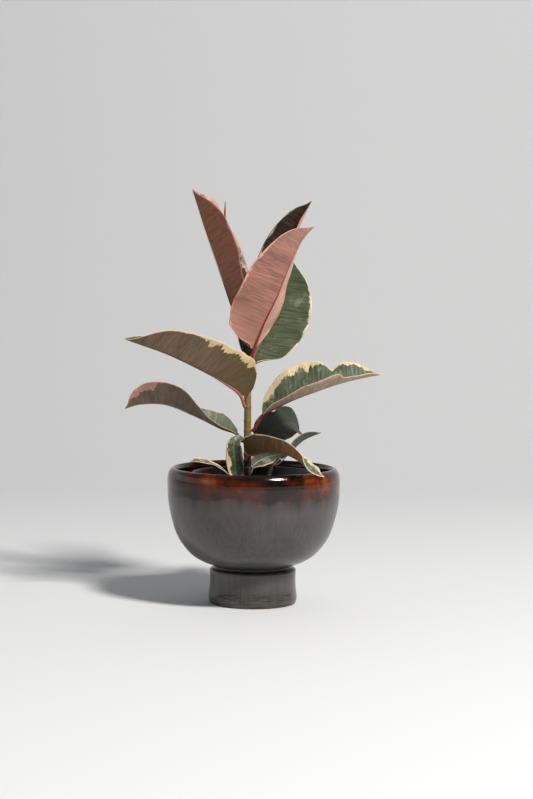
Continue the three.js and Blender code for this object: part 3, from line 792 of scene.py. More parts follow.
# midribs in mm from the soil under the stem; faces: which way the upper side looks along the midrib;
# fold, pale and trim are given for the left half and the right half
leaves = {
    "leafSpear": {
        "node": "leaf_spear", "slot": "young_leaf", "stem": "mainStem", "leaves": (108, (-1, 0.25)),
        "stalk": 0.17, "half": 31, "fold": (56, 56), "cup": -6, "lean": 0.78,
        "midrib": [(-11, 3, 136), (-21, 2, 162), (-34, -1, 198), (-47, -4, 234), (-58, -8, 269)],
        "faces": [(0, 0.9, 0.3, 0.1), (0.4, 0.98, -0.2, 0.2), (1, 0.98, -0.2, 0.2)],
        "pale": ([(0, 0.98), (0.25, 0.94), (0.5, 0.84), (0.85, 0.74), (1, 0.6)], [(0, 0.97), (1, 0.97)]),
        "trim": ([(0, 1), (0.3, 0.96), (0.45, 0.9), (0.6, 0.85), (0.7, 0.87), (0.8, 0.97), (0.86, 1.2),
                  (0.93, 1.4), (1, 1.3)],
                 [(0, 1), (0.35, 1.05), (0.5, 1.17), (0.6, 1.2), (0.67, 1.24), (0.75, 1.34), (0.83, 1.42),
                  (0.9, 1.3), (1, 1.1)]),
        "wave": (0.35, 4, 0.1), "seed": 3, "marble": 0.6,
        "look": {**ruby, "topDark": "#22281a", "topLight": "#3f4831", "topPale": "#c9ae9c",
                 "blotch": "#4a4c3b",
                 "backDark": "#734129", "backLight": "#94593b", "edge": "#d9796c", "rib": "#54302a",
                 "stalk": "#43231f"},
    },
    "leafTopFront": {
        "node": "leaf_top_front", "slot": "young_leaf", "stem": "mainStem", "leaves": (103, (0.1, -1)),
        "stalk": 0.18, "half": 34.5, "fold": (41, 41), "cup": -8, "lean": 1.25,
        "midrib": [(0, -11, 125), (8, -20, 147), (19, -29, 170), (27, -33, 190), (34, -34, 207),
                   (42, -31, 224), (47, -28.5, 230.5), (53, -25, 235.5)],
        "faces": [(0, -0.5, 0.8, 0.2), (0.3, -0.55, 0.83, 0.1), (0.6, -0.72, 0.7, 0.1), (1, -0.8, 0.6, 0.2)],
        "pale": ([(0, 0.97), (1, 0.97)], [(0, 0.02), (1, 0.02)]),
        "trim": ([(0, 2.4), (0.03, 1.8), (0.08, 1.45), (0.2, 1.12), (0.4, 1), (1, 1)],
                 [(0, 2.8), (0.03, 2), (0.08, 1.6), (0.2, 1.25), (0.3, 1.12), (1, 1)]),
        "wave": (0.5, 3, 0.4), "seed": 11, "veinSlope": 0.0, "lobe": 5,
        "look": {**ruby, "backDark": "#73534a", "backLight": "#bd806f", "backPale": "#e8b9a4",
                 "tip": "#7f5c51",
                 "near": "#c98f7b"},
    },
    "leafTopBack": {
        "node": "leaf_top_back", "slot": "leaf", "stem": "mainStem", "leaves": (99, (-0.5, 0.87)),
        "stalk": 0.32, "half": 26, "fold": (51, 51), "cup": -4, "lean": 0.9,
        "midrib": [(-6, 14, 104), (-3, 27, 116), (7, 44, 149), (19, 56, 181), (31, 60, 211), (40, 58, 233),
                   (46, 54, 248), (52.5, 48, 262)],
        "faces": [(0, 0.1, -0.6, 0.8), (0.35, -0.78, -0.63, 0.1), (1, -0.78, -0.63, 0.1)],
        "pale": ([(0, 0.5), (1, 0.5)], [(0, 0.97), (1, 0.97)]),
        "wave": (0.5, 3, 0.7), "seed": 19,
        "look": {**ruby, "topDark": "#2a2116", "topLight": "#463829", "blotch": "#5e4c40",
                 "backDark": "#c98a7c",
                 "backLight": "#e0a090", "edge": "#7a4d44"},
    },
    "leafTopRight": {
        "node": "leaf_top_right", "slot": "leaf", "stem": "mainStem", "leaves": (96, (0.6, 0.8)),
        "stalk": 0.14, "half": 35, "fold": (8, 8), "cup": 4, "lean": 1,
        "midrib": [(-1, 9, 115), (8, 15, 134), (16, 20, 157), (25, 24, 181), (32, 26, 201), (35, 26, 208)],
        "faces": [(0, 0.1, -0.9, 0.3), (1, 0.15, -0.97, 0.1)],
        "pale": ([(0, 0.985), (0.3, 0.975), (0.5, 0.95), (0.75, 0.965), (1, 0.97)], [(0, 0.97), (1, 0.97)]),
        "trim": ([(0, 1), (0.4, 1.03), (0.55, 1.05), (0.7, 1.04), (1, 1)], [(0, 1), (1, 1)]),
        "wave": (0.9, 5, 0.2), "seed": 23, "lobe": 4,
        "look": {**mature, "topDark": "#3a432c", "topLight": "#535d42", "topPale": "#e0cfb2",
                 "blotch": "#7c8470",
                 "edge": "#dcc5aa"},
    },
    "leafMidLeft": {
        "node": "leaf_mid_left", "slot": "leaf", "stem": "mainStem", "leaves": (70, (-0.5, -0.85)),
        "stalk": 0.12, "half": 31.5, "cup": -4, "lean": 1.5,
        "fold": ([(0, 44), (0.8, 44), (0.9, 68), (1, 74)], 44),
        "trim": ([(0, 1), (0.8, 1), (0.9, 1.3), (0.96, 1.7), (1, 1.6)],
                 [(0, 4.4), (0.04, 2.5), (0.1, 1.7), (0.22, 1.24), (0.36, 1.04), (0.55, 0.96), (0.78, 0.95),
                  (0.9, 0.7), (1, 0.5)]),
        "midrib": [(-13, -8, 81), (-30, -11, 94), (-55, -12, 107), (-82, -11, 119), (-106, -7, 127),
                   (-121, -1, 132)],
        "faces": [(0, 0.1, 0.66, 0.75), (0.8, 0.1, 0.66, 0.75), (1, -0.1, 0.1, 1)],
        "pale": ([(0, 0.9), (1, 0.8)], [(0, 0.97), (0.12, 0.95), (0.2, 0.86), (0.45, 0.84), (0.6, 0.97),
                                        (1, 0.97)]),
        "wave": (0.6, 4, 0.0), "seed": 31, "veinSlope": -0.3, "lobe": 8,
        # near: painted light, a yellow-olive glow low on the underside that stands for light shining through
        # the blade
        "look": {**mature, "backDark": "#4f4030", "backLight": "#715c46", "edge": "#ecc49c",
                 "stalk": "#a9605a",
                 "near": "#4e3e12", "rib": "#50382a"},
    },
    "leafLowLeft": {
        "node": "leaf_low_left", "slot": "leaf", "stem": "mainStem", "leaves": (38, (-1, -0.2)),
        "stalk": 0.09, "half": 24, "fold": (48, 36), "cup": -4, "lean": 0.72,
        "trim": ([(0, 3), (0.05, 1.6), (0.12, 0.9), (0.2, 0.6), (0.3, 0.42), (0.5, 0.4), (0.7, 0.7), (1, 1)],
                 [(0, 1), (0.3, 0.85), (0.5, 0.94), (0.75, 1.12), (1, 1.05)]),
        "midrib": [(-16, -3, 45), (-31, -8, 51), (-55, -10, 62), (-82, -12, 72), (-105, -12, 72),
                   (-119, -12, 68)],
        "faces": [(0, 0.2, -0.5, 0.85), (0.35, 0.2, -0.3, 0.9), (0.6, 0.1, 0.45, 0.85), (1, 0, 0.7, 0.7)],
        "pale": ([(0, 0.97), (1, 0.95)], [(0, 0.97), (0.6, 0.97), (0.68, 0.7), (0.85, 0.62), (0.95, 0.8),
                                          (1, 0.9)]),
        "wave": (0.5, 3, 0.3), "seed": 37,
        "look": {**mature, "backDark": "#4d3e31", "backLight": "#6d5845", "backPale": "#b5837a",
                 "gloss": 0.52,
                 "edge": "#c9b294", "topLight": "#5f6653", "topDark": "#474e38", "stalk": "#5e2c2a",
                 "rib": "#a08c74"},
    },
    "leafMidRight": {
        "node": "leaf_mid_right", "slot": "leaf", "stem": "mainStem", "leaves": (48, (1, -0.3)),
        "stalk": 0.14, "half": 30, "fold": (46, 36), "cup": -2, "lean": 1.15,
        "midrib": [(8, -4, 62), (28, -8, 74), (56, -9, 85), (84, -7, 94), (107, -2, 99), (120, 2, 101)],
        "faces": [(0, 0, -0.36, 0.93), (1, -0.1, -0.36, 0.93)],
        "pale": ([(0, 0.92), (0.5, 0.86), (1, 0.9)],
                 [(0, 0.8), (0.1, 0.75), (0.3, 0.78), (0.52, 0.84), (0.62, 0.95),
                                                     (0.8, 0.88), (1, 0.7)]),
        "trim": ([(0, 0.5), (0.15, 0.45), (0.3, 0.6), (0.45, 0.8), (0.6, 0.96), (0.67, 1), (0.7, 0.5),
                  (0.78, 0.55), (0.9, 0.62),
                  (1, 0.6)],
                 [(0, 1.1), (0.3, 1.12), (0.5, 1.12), (0.6, 1), (0.635, 0.74), (0.66, 0.58), (0.69, 0.76),
                  (0.75, 0.94),
                  (0.85, 0.98), (1, 0.6)]),
        "wave": (0.6, 4, 0.6), "seed": 41,
        "look": {**mature, "backDark": "#8a735d", "backLight": "#b0957e", "backPale": "#d3ab97",
                 "topDark": "#3b4631",
                 "topLight": "#616b55", "stalk": "#7c2a30"},
    },
    "leafLowBack": {
        "node": "leaf_low_back", "slot": "leaf", "stem": "mainStem", "leaves": (26, (0.6, 0.8)),
        "stalk": 0.12, "half": 15, "fold": (12, 14), "cup": 4, "lean": 1,
        "midrib": [(2, 12, 32), (12, 24, 41), (22, 38, 48), (31, 54, 52), (39, 72, 49), (44, 92, 38)],
        "faces": [(0, 0.45, -0.65, 0.45), (1, 0.45, -0.65, 0.5)],
        "trim": ([(0, 1.3), (0.3, 1.1), (0.55, 1.05), (0.7, 1.2), (1, 1)],
                 [(0, 2.2), (0.1, 1.9), (0.2, 1.6), (0.34, 1.24), (0.42, 0.96), (0.5, 1.08), (0.62, 1.12),
                  (0.8, 1.2), (1, 1)]),
        "pale": ([(0, 0.97), (1, 0.97)], [(0, 0.98), (1, 0.98)]),
        "wave": (0.7, 4, 0.1), "seed": 43,
        # painted shade: this leaf lies in leafMidRight's shadow, so its greens, upper rib and edge line are
        # given near black
        "look": {**mature, "topDark": "#22261b", "topLight": "#373d2d", "blotch": "#30352a",
                 "ribTop": "#3c3f30",
                 "edge": "#33372a", "gloss": 0.5},
    },
    "leafRimFront": {
        "node": "leaf_rim_front", "slot": "leaf", "stem": "mainStem", "leaves": (20, (0.1, -1)),
        "stalk": 0.1, "half": 18, "cup": -4, "lean": 1.1,
        "fold": ([(0, 62), (0.78, 58), (0.9, 26), (1, 8)], 22),
        "trim": ([(0, 6), (0.03, 3.4), (0.08, 2), (0.15, 1.4), (0.3, 1.05), (0.5, 0.86), (0.7, 0.8),
                  (0.8, 0.86),
                  (0.9, 1.3), (1, 1.4)],
                 [(0, 1), (0.5, 0.8), (0.8, 0.7), (0.92, 1.2), (1, 1.2)]),
        "midrib": [(-4, -15, 25.5), (3.5, -28, 29.5), (14, -42, 32), (30, -60, 31), (41, -72, 26),
                   (48, -81, 20.5),
                   (56, -88, 16.8), (62, -91.5, 15)],
        "faces": [(0, 0.1, 0.15, 0.98), (0.78, 0.1, 0.15, 0.98), (0.92, 0.3, -0.5, 0.8),
                  (1, 0.35, -0.6, 0.7)],
        "pale": ([(0, 0.97), (0.8, 0.96), (1, 0.9)], [(0, 0.85), (0.7, 0.75), (1, 0.6)]),
        "wave": (0.4, 3, 0.5), "seed": 47,
        "look": {**mature, "backDark": "#684427", "backLight": "#946848", "edge": "#f2dcbc",
                 "topLight": "#6f8066",
                 "topDark": "#4f5f48", "near": "#4a3512"},
    },
    "leafShoot": {
        "node": "leaf_shoot", "slot": "leaf", "stem": "sideShoot", "leaves": (15, (0.3, -1)),
        "stalk": 0.3, "half": 6.5, "fold": (58, 58), "cup": 0, "lean": 1,
        "midrib": [(27, 5, 20), (34, 11, 27), (46, 17, 37.5), (63, 20, 45)],
        "faces": [(0, -0.3, 0.3, 0.9), (1, -0.3, 0.3, 0.9)],
        "pale": ([(0, 0.95), (1, 0.95)], [(0, 0.95), (1, 0.95)]),
        "wave": (0.2, 3, 0.2), "seed": 53,
        "look": {**mature, "backDark": "#3f4036", "backLight": "#5d5f52", "topDark": "#333b2c",
                 "topLight": "#4f5844",
                 "topPale": "#7f8270", "stalk": "#3a3430", "rib": "#4c4a3c", "edge": "#8a8876"},
    },
    "leafLowInner": {
        "node": "leaf_low_inner", "slot": "leaf", "stem": "mainStem", "leaves": (6, (0.4, 0.9)),
        "stalk": 0.2, "half": 9, "fold": (10, 10), "cup": 4, "lean": 1.2,
        "midrib": [(-1, 9, 11), (2, 14, 16), (12, 20, 21), (24, 28, 23), (33, 34, 24)],
        "faces": [(0, 0, -0.8, 0.6), (1, 0, -0.8, 0.6)],
        "pale": ([(0, 0.8), (1, 0.85)], [(0, 0.8), (1, 0.85)]),
        "wave": (0.3, 3, 0.1), "seed": 59,
        "look": {**mature, "topDark": "#363c2c", "topLight": "#525744", "topPale": "#a89b7c", "gloss": 0.6,
                 "stalk": "#56573f", "rib": "#6a6a50"},
    },
    "leafLowFront": {
        "node": "leaf_low_front", "slot": "leaf", "stem": "mainStem", "leaves": (33, (-0.3, -1)),
        "stalk": 0.12, "half": 8.4, "fold": (14, 14), "cup": 0, "lean": 0.8,
        "midrib": [(-9, -8, 40), (-14.5, -11, 41), (-18, -13, 36), (-17.5, -15, 26), (-16, -17, 13),
                   (-15, -20, 5.5), (-13.5, -28, 3.5)],
        "faces": [(0, 0, -0.3, 1), (0.3, -0.2, -0.9, 0.4), (0.7, -0.2, -0.97, 0.1), (1, 0, -0.3, 1)],
        "pale": ([(0, 0.95), (0.3, 0.85), (0.45, 0.6), (0.8, 0.62), (1, 0.85)],
                 [(0, 0.95), (0.6, 0.9), (1, 0.9)]),
        "wave": (0.4, 3, 0.6), "seed": 61,
        "look": {**mature, "topDark": "#2c3523", "topLight": "#525a3f", "ribTop": "#5f6a4c",
                 "edge": "#a8a084"},
    },
    "leafRimLeft": {
        "node": "leaf_rim_left", "slot": "leaf", "stem": "mainStem", "leaves": (4, (-0.8, -0.6)),
        "stalk": 0.34, "half": 6.5, "fold": (30, 30), "cup": 0, "lean": 1,
        "midrib": [(-16, -13, 6.5), (-24, -17, 9), (-36, -23, 16), (-47, -28, 19.5), (-58, -30, 21.5)],
        "faces": [(0, 0, -0.3, 0.95), (1, 0, -0.3, 0.95)],
        "pale": ([(0, 0.9), (1, 0.8)], [(0, 0.9), (1, 0.8)]),
        "trim": ([(0, 0.7), (0.4, 0.85), (0.7, 1.15), (0.85, 1.6), (0.95, 2.8), (0.98, 5), (1, 9)],
                 [(0, 0.7), (0.4, 0.85), (0.7, 1.15), (0.85, 1.6), (0.95, 2.8), (0.98, 5), (1, 9)]),
        "wave": (0.2, 3, 0.4), "seed": 67,
        "look": {**mature, "topDark": "#5c5e4c", "topLight": "#7b7a68", "stalk": "#5d5a46"},
    },
}
bladeThick = 0.6      # mm
stalkRadius = 1.75


# the point on the bark where a stalk leaves, and one a little further out
def leafStart(leaf):
    height, (dx, dy) = leaf["leaves"]
    line = stemLine(leaf["stem"])
    out = Vector((dx, dy, 0)).normalized()
    centre = min((alongLine(line, k / 400)[0] for k in range(401)),
                 key=lambda p: abs(p.z - soilLevel - height))
    first = centre + out * (stems[leaf["stem"]]["radius"] + 0.45)
    return first, first + out * 1.55


def leafLine(leaf):
    return lineThrough([*leafStart(leaf)] + [onSoil(p) for p in leaf["midrib"]], 16)


# centre, direction, upward side and rightward side at a share of the whole midrib
def leafFrame(leaf, line, share):
    centre, tangent = alongLine(line, share)
    face = Vector(readTable(leaf["faces"], share))
    face = (face - tangent * face.dot(tangent)).normalized()
    return centre, tangent, face, face.cross(tangent).normalized()


def makeBlade(name, leaf):
    blade, spots = newSheet(name, 26, 64)
    line = leafLine(leaf)
    span = lineLength(line)
    reach, turns, phase = leaf["wave"]
    frames, mmPlaces, shares, places = {}, [], [], []
    for across, along in spots:
        along = round(along, 6)
        if along not in frames:
            share = leaf["stalk"] + (1 - leaf["stalk"]) * along ** leaf["lean"]
            frames[along] = (share, *leafFrame(leaf, line, share))
        share, centre, tangent, face, side = frames[along]
        right = across > 0
        s = abs(across) ** 1.2
        trim = readTable(leaf["trim"][right], along)[0] if "trim" in leaf else 1
        bend = leaf["fold"][right]
        if isinstance(bend, list):
            bend = readTable(bend, along)[0]
        width = max(0.25, leaf["half"] * readTable(bladeOutline, along)[0] * trim)
        out = side if right else -side
        # the half blade leaves the midrib a little flat, folds up, then eases towards its edge
        spot = centre.copy()
        steps = 8
        for k in range(steps):
            place = (k + 0.5) / steps * s
            opened = bend * (0.86 + 0.14 * easeBetween(0, 0.16, place))
            turned = math.radians(opened + leaf["cup"] * 1.3 * easeBetween(0.2, 1, place))
            spot += (out * math.cos(turned) + face * math.sin(turned)) * (width * s / steps)
        lift = face * math.cos(turned) - out * math.sin(turned)
        ripple = reach * s ** 2.5 * math.sin(2 * math.pi * (turns * along + phase + 0.37 * right))
        ripple += 0.35 * reach * s * noise.noise((along * 9, right * 3.0, leaf["seed"]))
        ripple *= easeBetween(0, 0.12, along) * (1 - easeBetween(0.93, 1, along))
        groove = -0.35 * math.exp(-(width * s / 1.1) ** 2) * (1 - along)
        lobe = leaf.get("lobe", 1) * 4 * s * (1 - s) * (1 - easeBetween(0, 0.25, along))
        spot += lift * (ripple + groove) - tangent * lobe
        places.append(spot)
        mmPlaces.append((width * s * (1 if right else -1), share * span, width * (1 - s)))
        pale = readTable(leaf["pale"][right], along)[0]
        shares.append((s if right else -s, along, pale))
    for vertex, spot in zip(blade.data.vertices, places):
        vertex.co = spot * mm
    storeOn(blade, "veinMm", mmPlaces)
    storeOn(blade, "bladeShare", shares)
    for _ in range(3):
        blade.data.materials.append(None)
    applyModifier(blade, "SOLIDIFY", thickness=bladeThick * mm, offset=0, use_even_offset=False,
                  material_offset=1, material_offset_rim=2)
    takeUp(blade)
    bpy.ops.object.shade_smooth()
    return blade


# stalk from the bark, then the raised midrib along the back of the blade
def makeRib(name, leaf):
    line = leafLine(leaf)
    small = min(1, leaf["half"] / 20)

    def size(along, angle):
        if along < leaf["stalk"]:
            flare = 0.35 * math.exp(-(along * lineLength(line) / 1.6) ** 2)
            return small * (stalkRadius + flare - 0.3 * along / leaf["stalk"]) - 0.02 * small
        rest = (along - leaf["stalk"]) / (1 - leaf["stalk"])
        return small * ((stalkRadius - 0.6) * (1 - rest) ** 4 + 0.30 * (1 - rest) ** 1.6 + 0.035)

    def push(along):
        face = leafFrame(leaf, line, along)[2]
        rest = easeBetween(leaf["stalk"] * 0.9, leaf["stalk"] + 0.12, along)
        return -face * rest * (bladeThick * 0.45 + 0.25 * size(along, 0) + 0.2 * (1 - along))
    rod = rodAlong(name + "Rib", line, size, sides=12, rows=70, push=push, facing=Vector((0.11, 0.97, 0.2)))
    rod.data.materials.clear()
    return rod


# skin of one face of a leaf. Variegation follows the side veins: green tissue ends in teeth
# against the pale margin, and the two greens lie in long streaks from midrib to edge.
def leafSkin(name, leaf, side, dark, light, pale, blotch, rib, gloss, ribWidth, streaky):
    mat = emptyMaterial(name)
    place = addNode(mat, "SeparateXYZ",
                    {0: addNode(mat, "Attribute", attribute_name="veinMm").outputs["Vector"]})
    share = addNode(mat, "SeparateXYZ",
                    {0: addNode(mat, "Attribute", attribute_name="bladeShare").outputs["Vector"]})
    across, along, edge = place.outputs
    out = addNode(mat, "Math", {0: across}, operation="ABSOLUTE").outputs[0]
    shareOut = addNode(mat, "Math", {0: share.outputs[0]}, operation="ABSOLUTE").outputs[0]
    half = addNode(mat, "Math", {0: across}, operation="SIGN").outputs[0]
    half = addNode(mat, "Math", {0: half, 1: 41}, operation="MULTIPLY").outputs[0]
    lean = addNode(mat, "Math", {0: out, 1: -leaf.get("veinSlope", 0.22)}, operation="MULTIPLY").outputs[0]
    vein = addNode(mat, "Math", {0: along, 1: lean}, operation="ADD").outputs[0]
    vein = addNode(mat, "Math", {0: vein, 1: half}, operation="ADD").outputs[0]
    run = addNode(mat, "CombineXYZ", {0: out, 1: vein, 2: leaf["seed"] * 3.7})

    wide = addNode(mat, "VectorMath", {0: run.outputs[0], 1: (0.035, 0.28, 1)}, operation="MULTIPLY")
    streak = addNode(mat, "TexNoise", {"Vector": wide.outputs[0], "Scale": 1, "Detail": 3,
                                       "Roughness": 0.62})
    thinAt = addNode(mat, "VectorMath", {0: run.outputs[0], 1: (0.10, 0.95, 1)}, operation="MULTIPLY")
    thin = addNode(mat, "TexNoise", {"Vector": thinAt.outputs[0], "Scale": 1, "Detail": 2, "Roughness": 0.6})
    cloudAt = addNode(mat, "VectorMath", {0: run.outputs[0], 1: (0.07, 0.09, 1)}, operation="MULTIPLY")
    cloud = addNode(mat, "TexNoise", {"Vector": cloudAt.outputs[0], "Scale": 1, "Detail": 3,
                                      "Roughness": 0.6})

    streaks = addNode(mat, "Math", {0: thin.outputs[0], 1: 0.8, 2: streak.outputs[0]},
                      operation="MULTIPLY_ADD").outputs[0]
    tone = addNode(mat, "MapRange", {0: streaks, 1: 0.9 - 0.22 / streaky,
                                     2: 0.9 + 0.22 / streaky}).outputs[0]
    green = addNode(mat, "Mix", {0: tone, 6: dark, 7: light}, data_type="RGBA").outputs[2]
    patch = addNode(mat, "MapRange", {0: cloud.outputs[0], 1: 0.56, 2: 0.66, 3: 0, 4: 0.55}).outputs[0]
    green = addNode(mat, "Mix", {0: patch, 6: green, 7: blotch}, data_type="RGBA").outputs[2]

    # underside tint towards the blade's base; on leafMidLeft it is painted light shining through the blade
    if "near" in leaf["look"] and side == "back":
        low = addNode(mat, "MapRange", {0: share.outputs[1], 1: 0.6, 2: 0.05, 3: 0, 4: 0.85}).outputs[0]
        green = addNode(mat, "Mix", {0: low, 6: green, 7: leaf["look"]["near"]}, data_type="RGBA").outputs[2]

    if "tip" in leaf["look"] and side == "back":
        top = addNode(mat, "MapRange", {0: share.outputs[1], 1: 0.5, 2: 0.95, 3: 0, 4: 0.7}).outputs[0]
        green = addNode(mat, "Mix", {0: top, 6: green, 7: leaf["look"]["tip"]}, data_type="RGBA").outputs[2]

    # teeth about 5 mm apart where the green ends
    toothAt = addNode(mat, "Math", {0: vein, 1: 1 / 5.2}, operation="MULTIPLY").outputs[0]
    tooth = addNode(mat, "TexVoronoi", {"W": toothAt, "Scale": 1}, voronoi_dimensions="1D")
    swayAt = addNode(mat, "Math", {0: vein, 1: 1 / 13}, operation="MULTIPLY").outputs[0]
    sway = addNode(mat, "TexNoise", {"W": swayAt, "Scale": 1, "Detail": 2}, noise_dimensions="1D")
    small = addNode(mat, "TexVoronoi", {"W": toothAt, "Scale": 2.3}, voronoi_dimensions="1D")
    bite = addNode(mat, "Math", {0: tooth.outputs["Distance"], 1: -0.14}, operation="MULTIPLY").outputs[0]
    bite = addNode(mat, "Math", {0: small.outputs["Distance"], 1: -0.09, 2: bite},
                   operation="MULTIPLY_ADD").outputs[0]
    drift = addNode(mat, "MapRange", {0: sway.outputs[0], 1: 0.2, 2: 0.8, 3: -0.2, 4: 0.24}).outputs[0]
    room = addNode(mat, "Math", {0: 1, 1: share.outputs[2]}, operation="SUBTRACT").outputs[0]
    room = addNode(mat, "MapRange", {0: room, 1: 0.0, 2: 0.12}).outputs[0]
    jag = addNode(mat, "Math", {0: bite, 1: drift}, operation="ADD").outputs[0]
    jag = addNode(mat, "Math", {0: jag, 1: room}, operation="MULTIPLY").outputs[0]
    limit = addNode(mat, "Math", {0: share.outputs[2], 1: jag}, operation="ADD").outputs[0]
    over = addNode(mat, "Math", {0: shareOut, 1: limit}, operation="SUBTRACT").outputs[0]
    inPale = addNode(mat, "MapRange", {0: over, 1: -0.012, 2: 0.012}).outputs[0]
    paleTone = addNode(mat, "MapRange", {0: thin.outputs[0], 1: 0.3, 2: 0.7, 3: 0.86, 4: 1.06}).outputs[0]
    paler = addNode(mat, "Mix", {0: 1, 6: pale, 7: paleTone}, data_type="RGBA",
                    blend_type="MULTIPLY").outputs[2]
    skin = addNode(mat, "Mix", {0: inPale, 6: green, 7: paler}, data_type="RGBA").outputs[2]

    fleck = addNode(mat, "MapRange", {0: cloud.outputs[0], 1: 0.47, 2: 0.53, 3: 0,
                                      4: leaf.get("marble", 0.25)}).outputs[0]
    fleck = addNode(mat, "Math", {0: fleck, 1: inPale}, operation="MULTIPLY").outputs[0]
    skin = addNode(mat, "Mix", {0: fleck, 6: skin, 7: light}, data_type="RGBA").outputs[2]
    line = addNode(mat, "MapRange", {0: edge, 1: 0.9, 2: 0.2}, interpolation_type="SMOOTHSTEP").outputs[0]
    skin = addNode(mat, "Mix", {0: line, 6: skin, 7: leaf["look"]["edge"]}, data_type="RGBA").outputs[2]
    centre = addNode(mat, "MapRange", {0: out, 1: ribWidth, 2: ribWidth * 0.45},
                     interpolation_type="SMOOTHSTEP")
    fading = addNode(mat, "MapRange", {0: share.outputs[1], 1: 0.4, 2: 0.8, 3: 1, 4: 0.15}).outputs[0]
    centre = addNode(mat, "Math", {0: centre.outputs[0], 1: fading}, operation="MULTIPLY").outputs[0]
    skin = addNode(mat, "Mix", {0: centre, 6: skin, 7: rib}, data_type="RGBA").outputs[2]

    # side veins stand a little proud, about 4 mm apart
    ridgeAt = addNode(mat, "Math", {0: vein, 1: 2 * math.pi / 3.9}, operation="MULTIPLY").outputs[0]
    ridge = addNode(mat, "Math", {0: ridgeAt}, operation="SINE").outputs[0]
    ridge = addNode(mat, "Math", {0: ridge, 1: 0.12}, operation="MULTIPLY").outputs[0]
    rise = addNode(mat, "Math", {0: thin.outputs[0], 1: ridge}, operation="ADD").outputs[0]
    bump = addNode(mat, "Bump", {"Height": rise, "Strength": 0.5, "Distance": 0.0006})
    rough = addNode(mat, "MapRange", {0: cloud.outputs[0], 3: gloss - 0.06, 4: gloss + 0.1}).outputs[0]
    finishMaterial(mat, {"Base Color": skin, "Roughness": rough, "IOR": 1.45, "Normal": bump.outputs[0]})
    return mat


# stalk and midrib: smooth waxy skin, red, darker specks, paling along the midrib towards the underside's
# tone
def stalkSkin(name, leaf):
    mat = emptyMaterial(name)
    place = addNode(mat, "Attribute", attribute_name="veinMm").outputs["Vector"]
    share = addNode(mat, "SeparateXYZ",
                    {0: addNode(mat, "Attribute", attribute_name="bladeShare").outputs["Vector"]})
    grainAt = addNode(mat, "VectorMath", {0: place, 1: (0.9, 0.25, 1)}, operation="MULTIPLY")
    grain = addNode(mat, "TexNoise", {"Vector": grainAt.outputs[0], "Scale": 1, "Detail": 3})
    tone = addNode(mat, "MapRange", {0: share.outputs[1], 1: leaf["stalk"],
                                     2: leaf["stalk"] + 0.25}).outputs[0]
    base = addNode(mat, "Mix", {0: tone, 6: leaf["look"]["stalk"], 7: leaf["look"]["rib"]}, data_type="RGBA")
    fading = addNode(mat, "MapRange", {0: share.outputs[1], 1: 0.5, 2: 0.85, 3: 0, 4: 0.85}).outputs[0]
    base = addNode(mat, "Mix", {0: fading, 6: base.outputs[2], 7: leaf["look"]["backLight"]},
                   data_type="RGBA")
    shade = addNode(mat, "MapRange", {0: grain.outputs[0], 1: 0.3, 2: 0.7, 3: 0.75, 4: 1.15}).outputs[0]
    skin = addNode(mat, "Mix", {0: 1, 6: base.outputs[2], 7: shade}, data_type="RGBA", blend_type="MULTIPLY")
    bump = addNode(mat, "Bump", {"Height": grain.outputs[0], "Strength": 0.3, "Distance": 0.0003})
    finishMaterial(mat, {"Base Color": skin.outputs[2], "Roughness": 0.42, "IOR": 1.45,
                         "Normal": bump.outputs[0]})
    return mat


def edgeSkin(name, leaf):
    # cut-thin margin of the blade, pale where the green stops
    mat = emptyMaterial(name)
    place = addNode(mat, "Attribute", attribute_name="veinMm").outputs["Vector"]
    grain = addNode(mat, "TexNoise", {"Vector": place, "Scale": 0.25, "Detail": 2})
    shade = addNode(mat, "MapRange", {0: grain.outputs[0], 1: 0.3, 2: 0.7, 3: 0.85, 4: 1.1}).outputs[0]
    skin = addNode(mat, "Mix", {0: 1, 6: leaf["look"]["edge"], 7: shade}, data_type="RGBA",
                   blend_type="MULTIPLY")
    finishMaterial(mat, {"Base Color": skin.outputs[2], "Roughness": 0.45, "IOR": 1.45})
    return mat


for name, leaf in leaves.items():
    look = leaf["look"]
    blade = makeBlade(name, leaf)
    blade.data.materials[0] = leafSkin(name + "Top", leaf, "top", look["topDark"], look["topLight"],
                                       look["topPale"],
                                       look["blotch"], look["ribTop"], look["gloss"], 1.0, 1.2)
    blade.data.materials[1] = leafSkin(name + "Back", leaf, "back", look["backDark"], look["backLight"],
                                       look["backPale"],
                                       look["backLight"], look["rib"], 0.5, 1.1, 1.0)
    blade.data.materials[2] = edgeSkin(name + "Edge", leaf)
    rib = makeRib(name, leaf)
    rib.data.materials.append(stalkSkin(name + "Stalk", leaf))
    joinInto(blade, [rib])
    smoothOver(blade, 1)
    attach(blade, "root")
    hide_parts(leaf["node"])
print("leaves are unfolded")


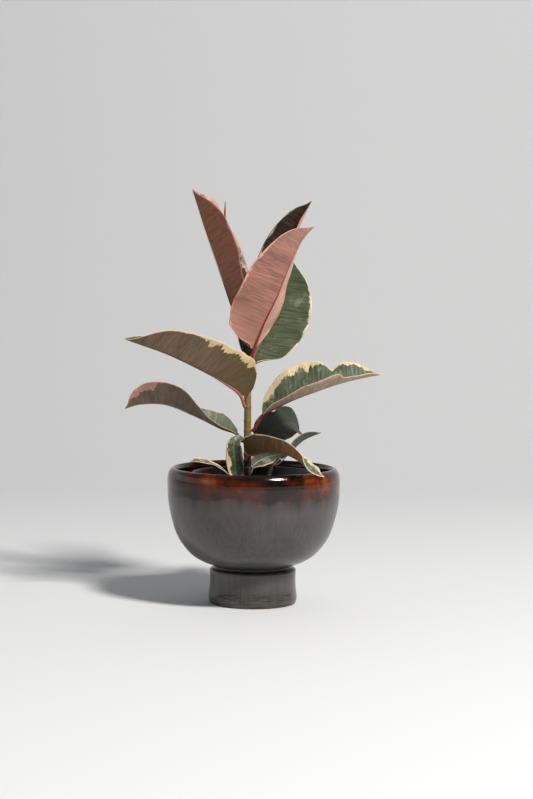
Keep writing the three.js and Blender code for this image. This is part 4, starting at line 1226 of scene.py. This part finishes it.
bud = {
    "path": [(-2.2, 0.4, 120), (-3.6, 0.9, 128), (-8.5, 0.8, 155), (-18, -2, 186), (-25.5, -6, 216),
             (-28.2, -8, 239),
             (-28, -9, 259)],
    "radius": 3.0,
    "shape": [(0, 0.6), (0.05, 0.8), (0.2, 1), (0.45, 0.95), (0.7, 0.7), (0.88, 0.4), (0.96, 0.2),
              (1, 0.05)],
}


def makeBud():
    line = lineThrough([onSoil(p) for p in bud["path"]], 16)

    def size(along, angle):
        wrap = 0.12 * math.cos(angle - 5 * along)      # the sheath is rolled on itself
        return bud["radius"] * readTable(bud["shape"],
                                         along)[0] * (0.97 + 0.03 * math.sin(3 * angle)) + wrap * 0.6
    return rodAlong("budSheath", line, size, sides=18, rows=90)


def sheathSkin():
    # stipule round the newest leaf: thin, waxy, crimson that pales towards its tip, fine long veins
    mat = emptyMaterial("crimsonStipule")
    place = addNode(mat, "Attribute", attribute_name="veinMm").outputs["Vector"]
    share = addNode(mat, "SeparateXYZ",
                    {0: addNode(mat, "Attribute", attribute_name="bladeShare").outputs["Vector"]})
    linesAt = addNode(mat, "VectorMath", {0: place, 1: (1.3, 0.03, 1)}, operation="MULTIPLY")
    lines = addNode(mat, "TexNoise", {"Vector": linesAt.outputs[0], "Scale": 1, "Detail": 3})
    tone = addNode(mat, "ValToRGB", {"Fac": share.outputs[1]},
                   stops=[(0, "#6e2a2a"), (0.4, "#9c3c3a"), (0.8, "#a84a44"), (1, "#8a3a36")])
    shade = addNode(mat, "MapRange", {0: lines.outputs[0], 1: 0.3, 2: 0.7, 3: 0.8, 4: 1.15}).outputs[0]
    skin = addNode(mat, "Mix", {0: 1, 6: tone.outputs[0], 7: shade}, data_type="RGBA", blend_type="MULTIPLY")
    bump = addNode(mat, "Bump", {"Height": lines.outputs[0], "Strength": 0.4, "Distance": 0.0003})
    finishMaterial(mat, {"Base Color": skin.outputs[2], "Roughness": 0.4, "IOR": 1.45,
                         "Normal": bump.outputs[0]})
    return mat


budPiece = makeBud()
budPiece.data.materials.append(sheathSkin())
smoothOver(budPiece, 1)
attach(budPiece, "root")
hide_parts("bud_sheath")
print("bud sheath is rolled")

deselectAll()
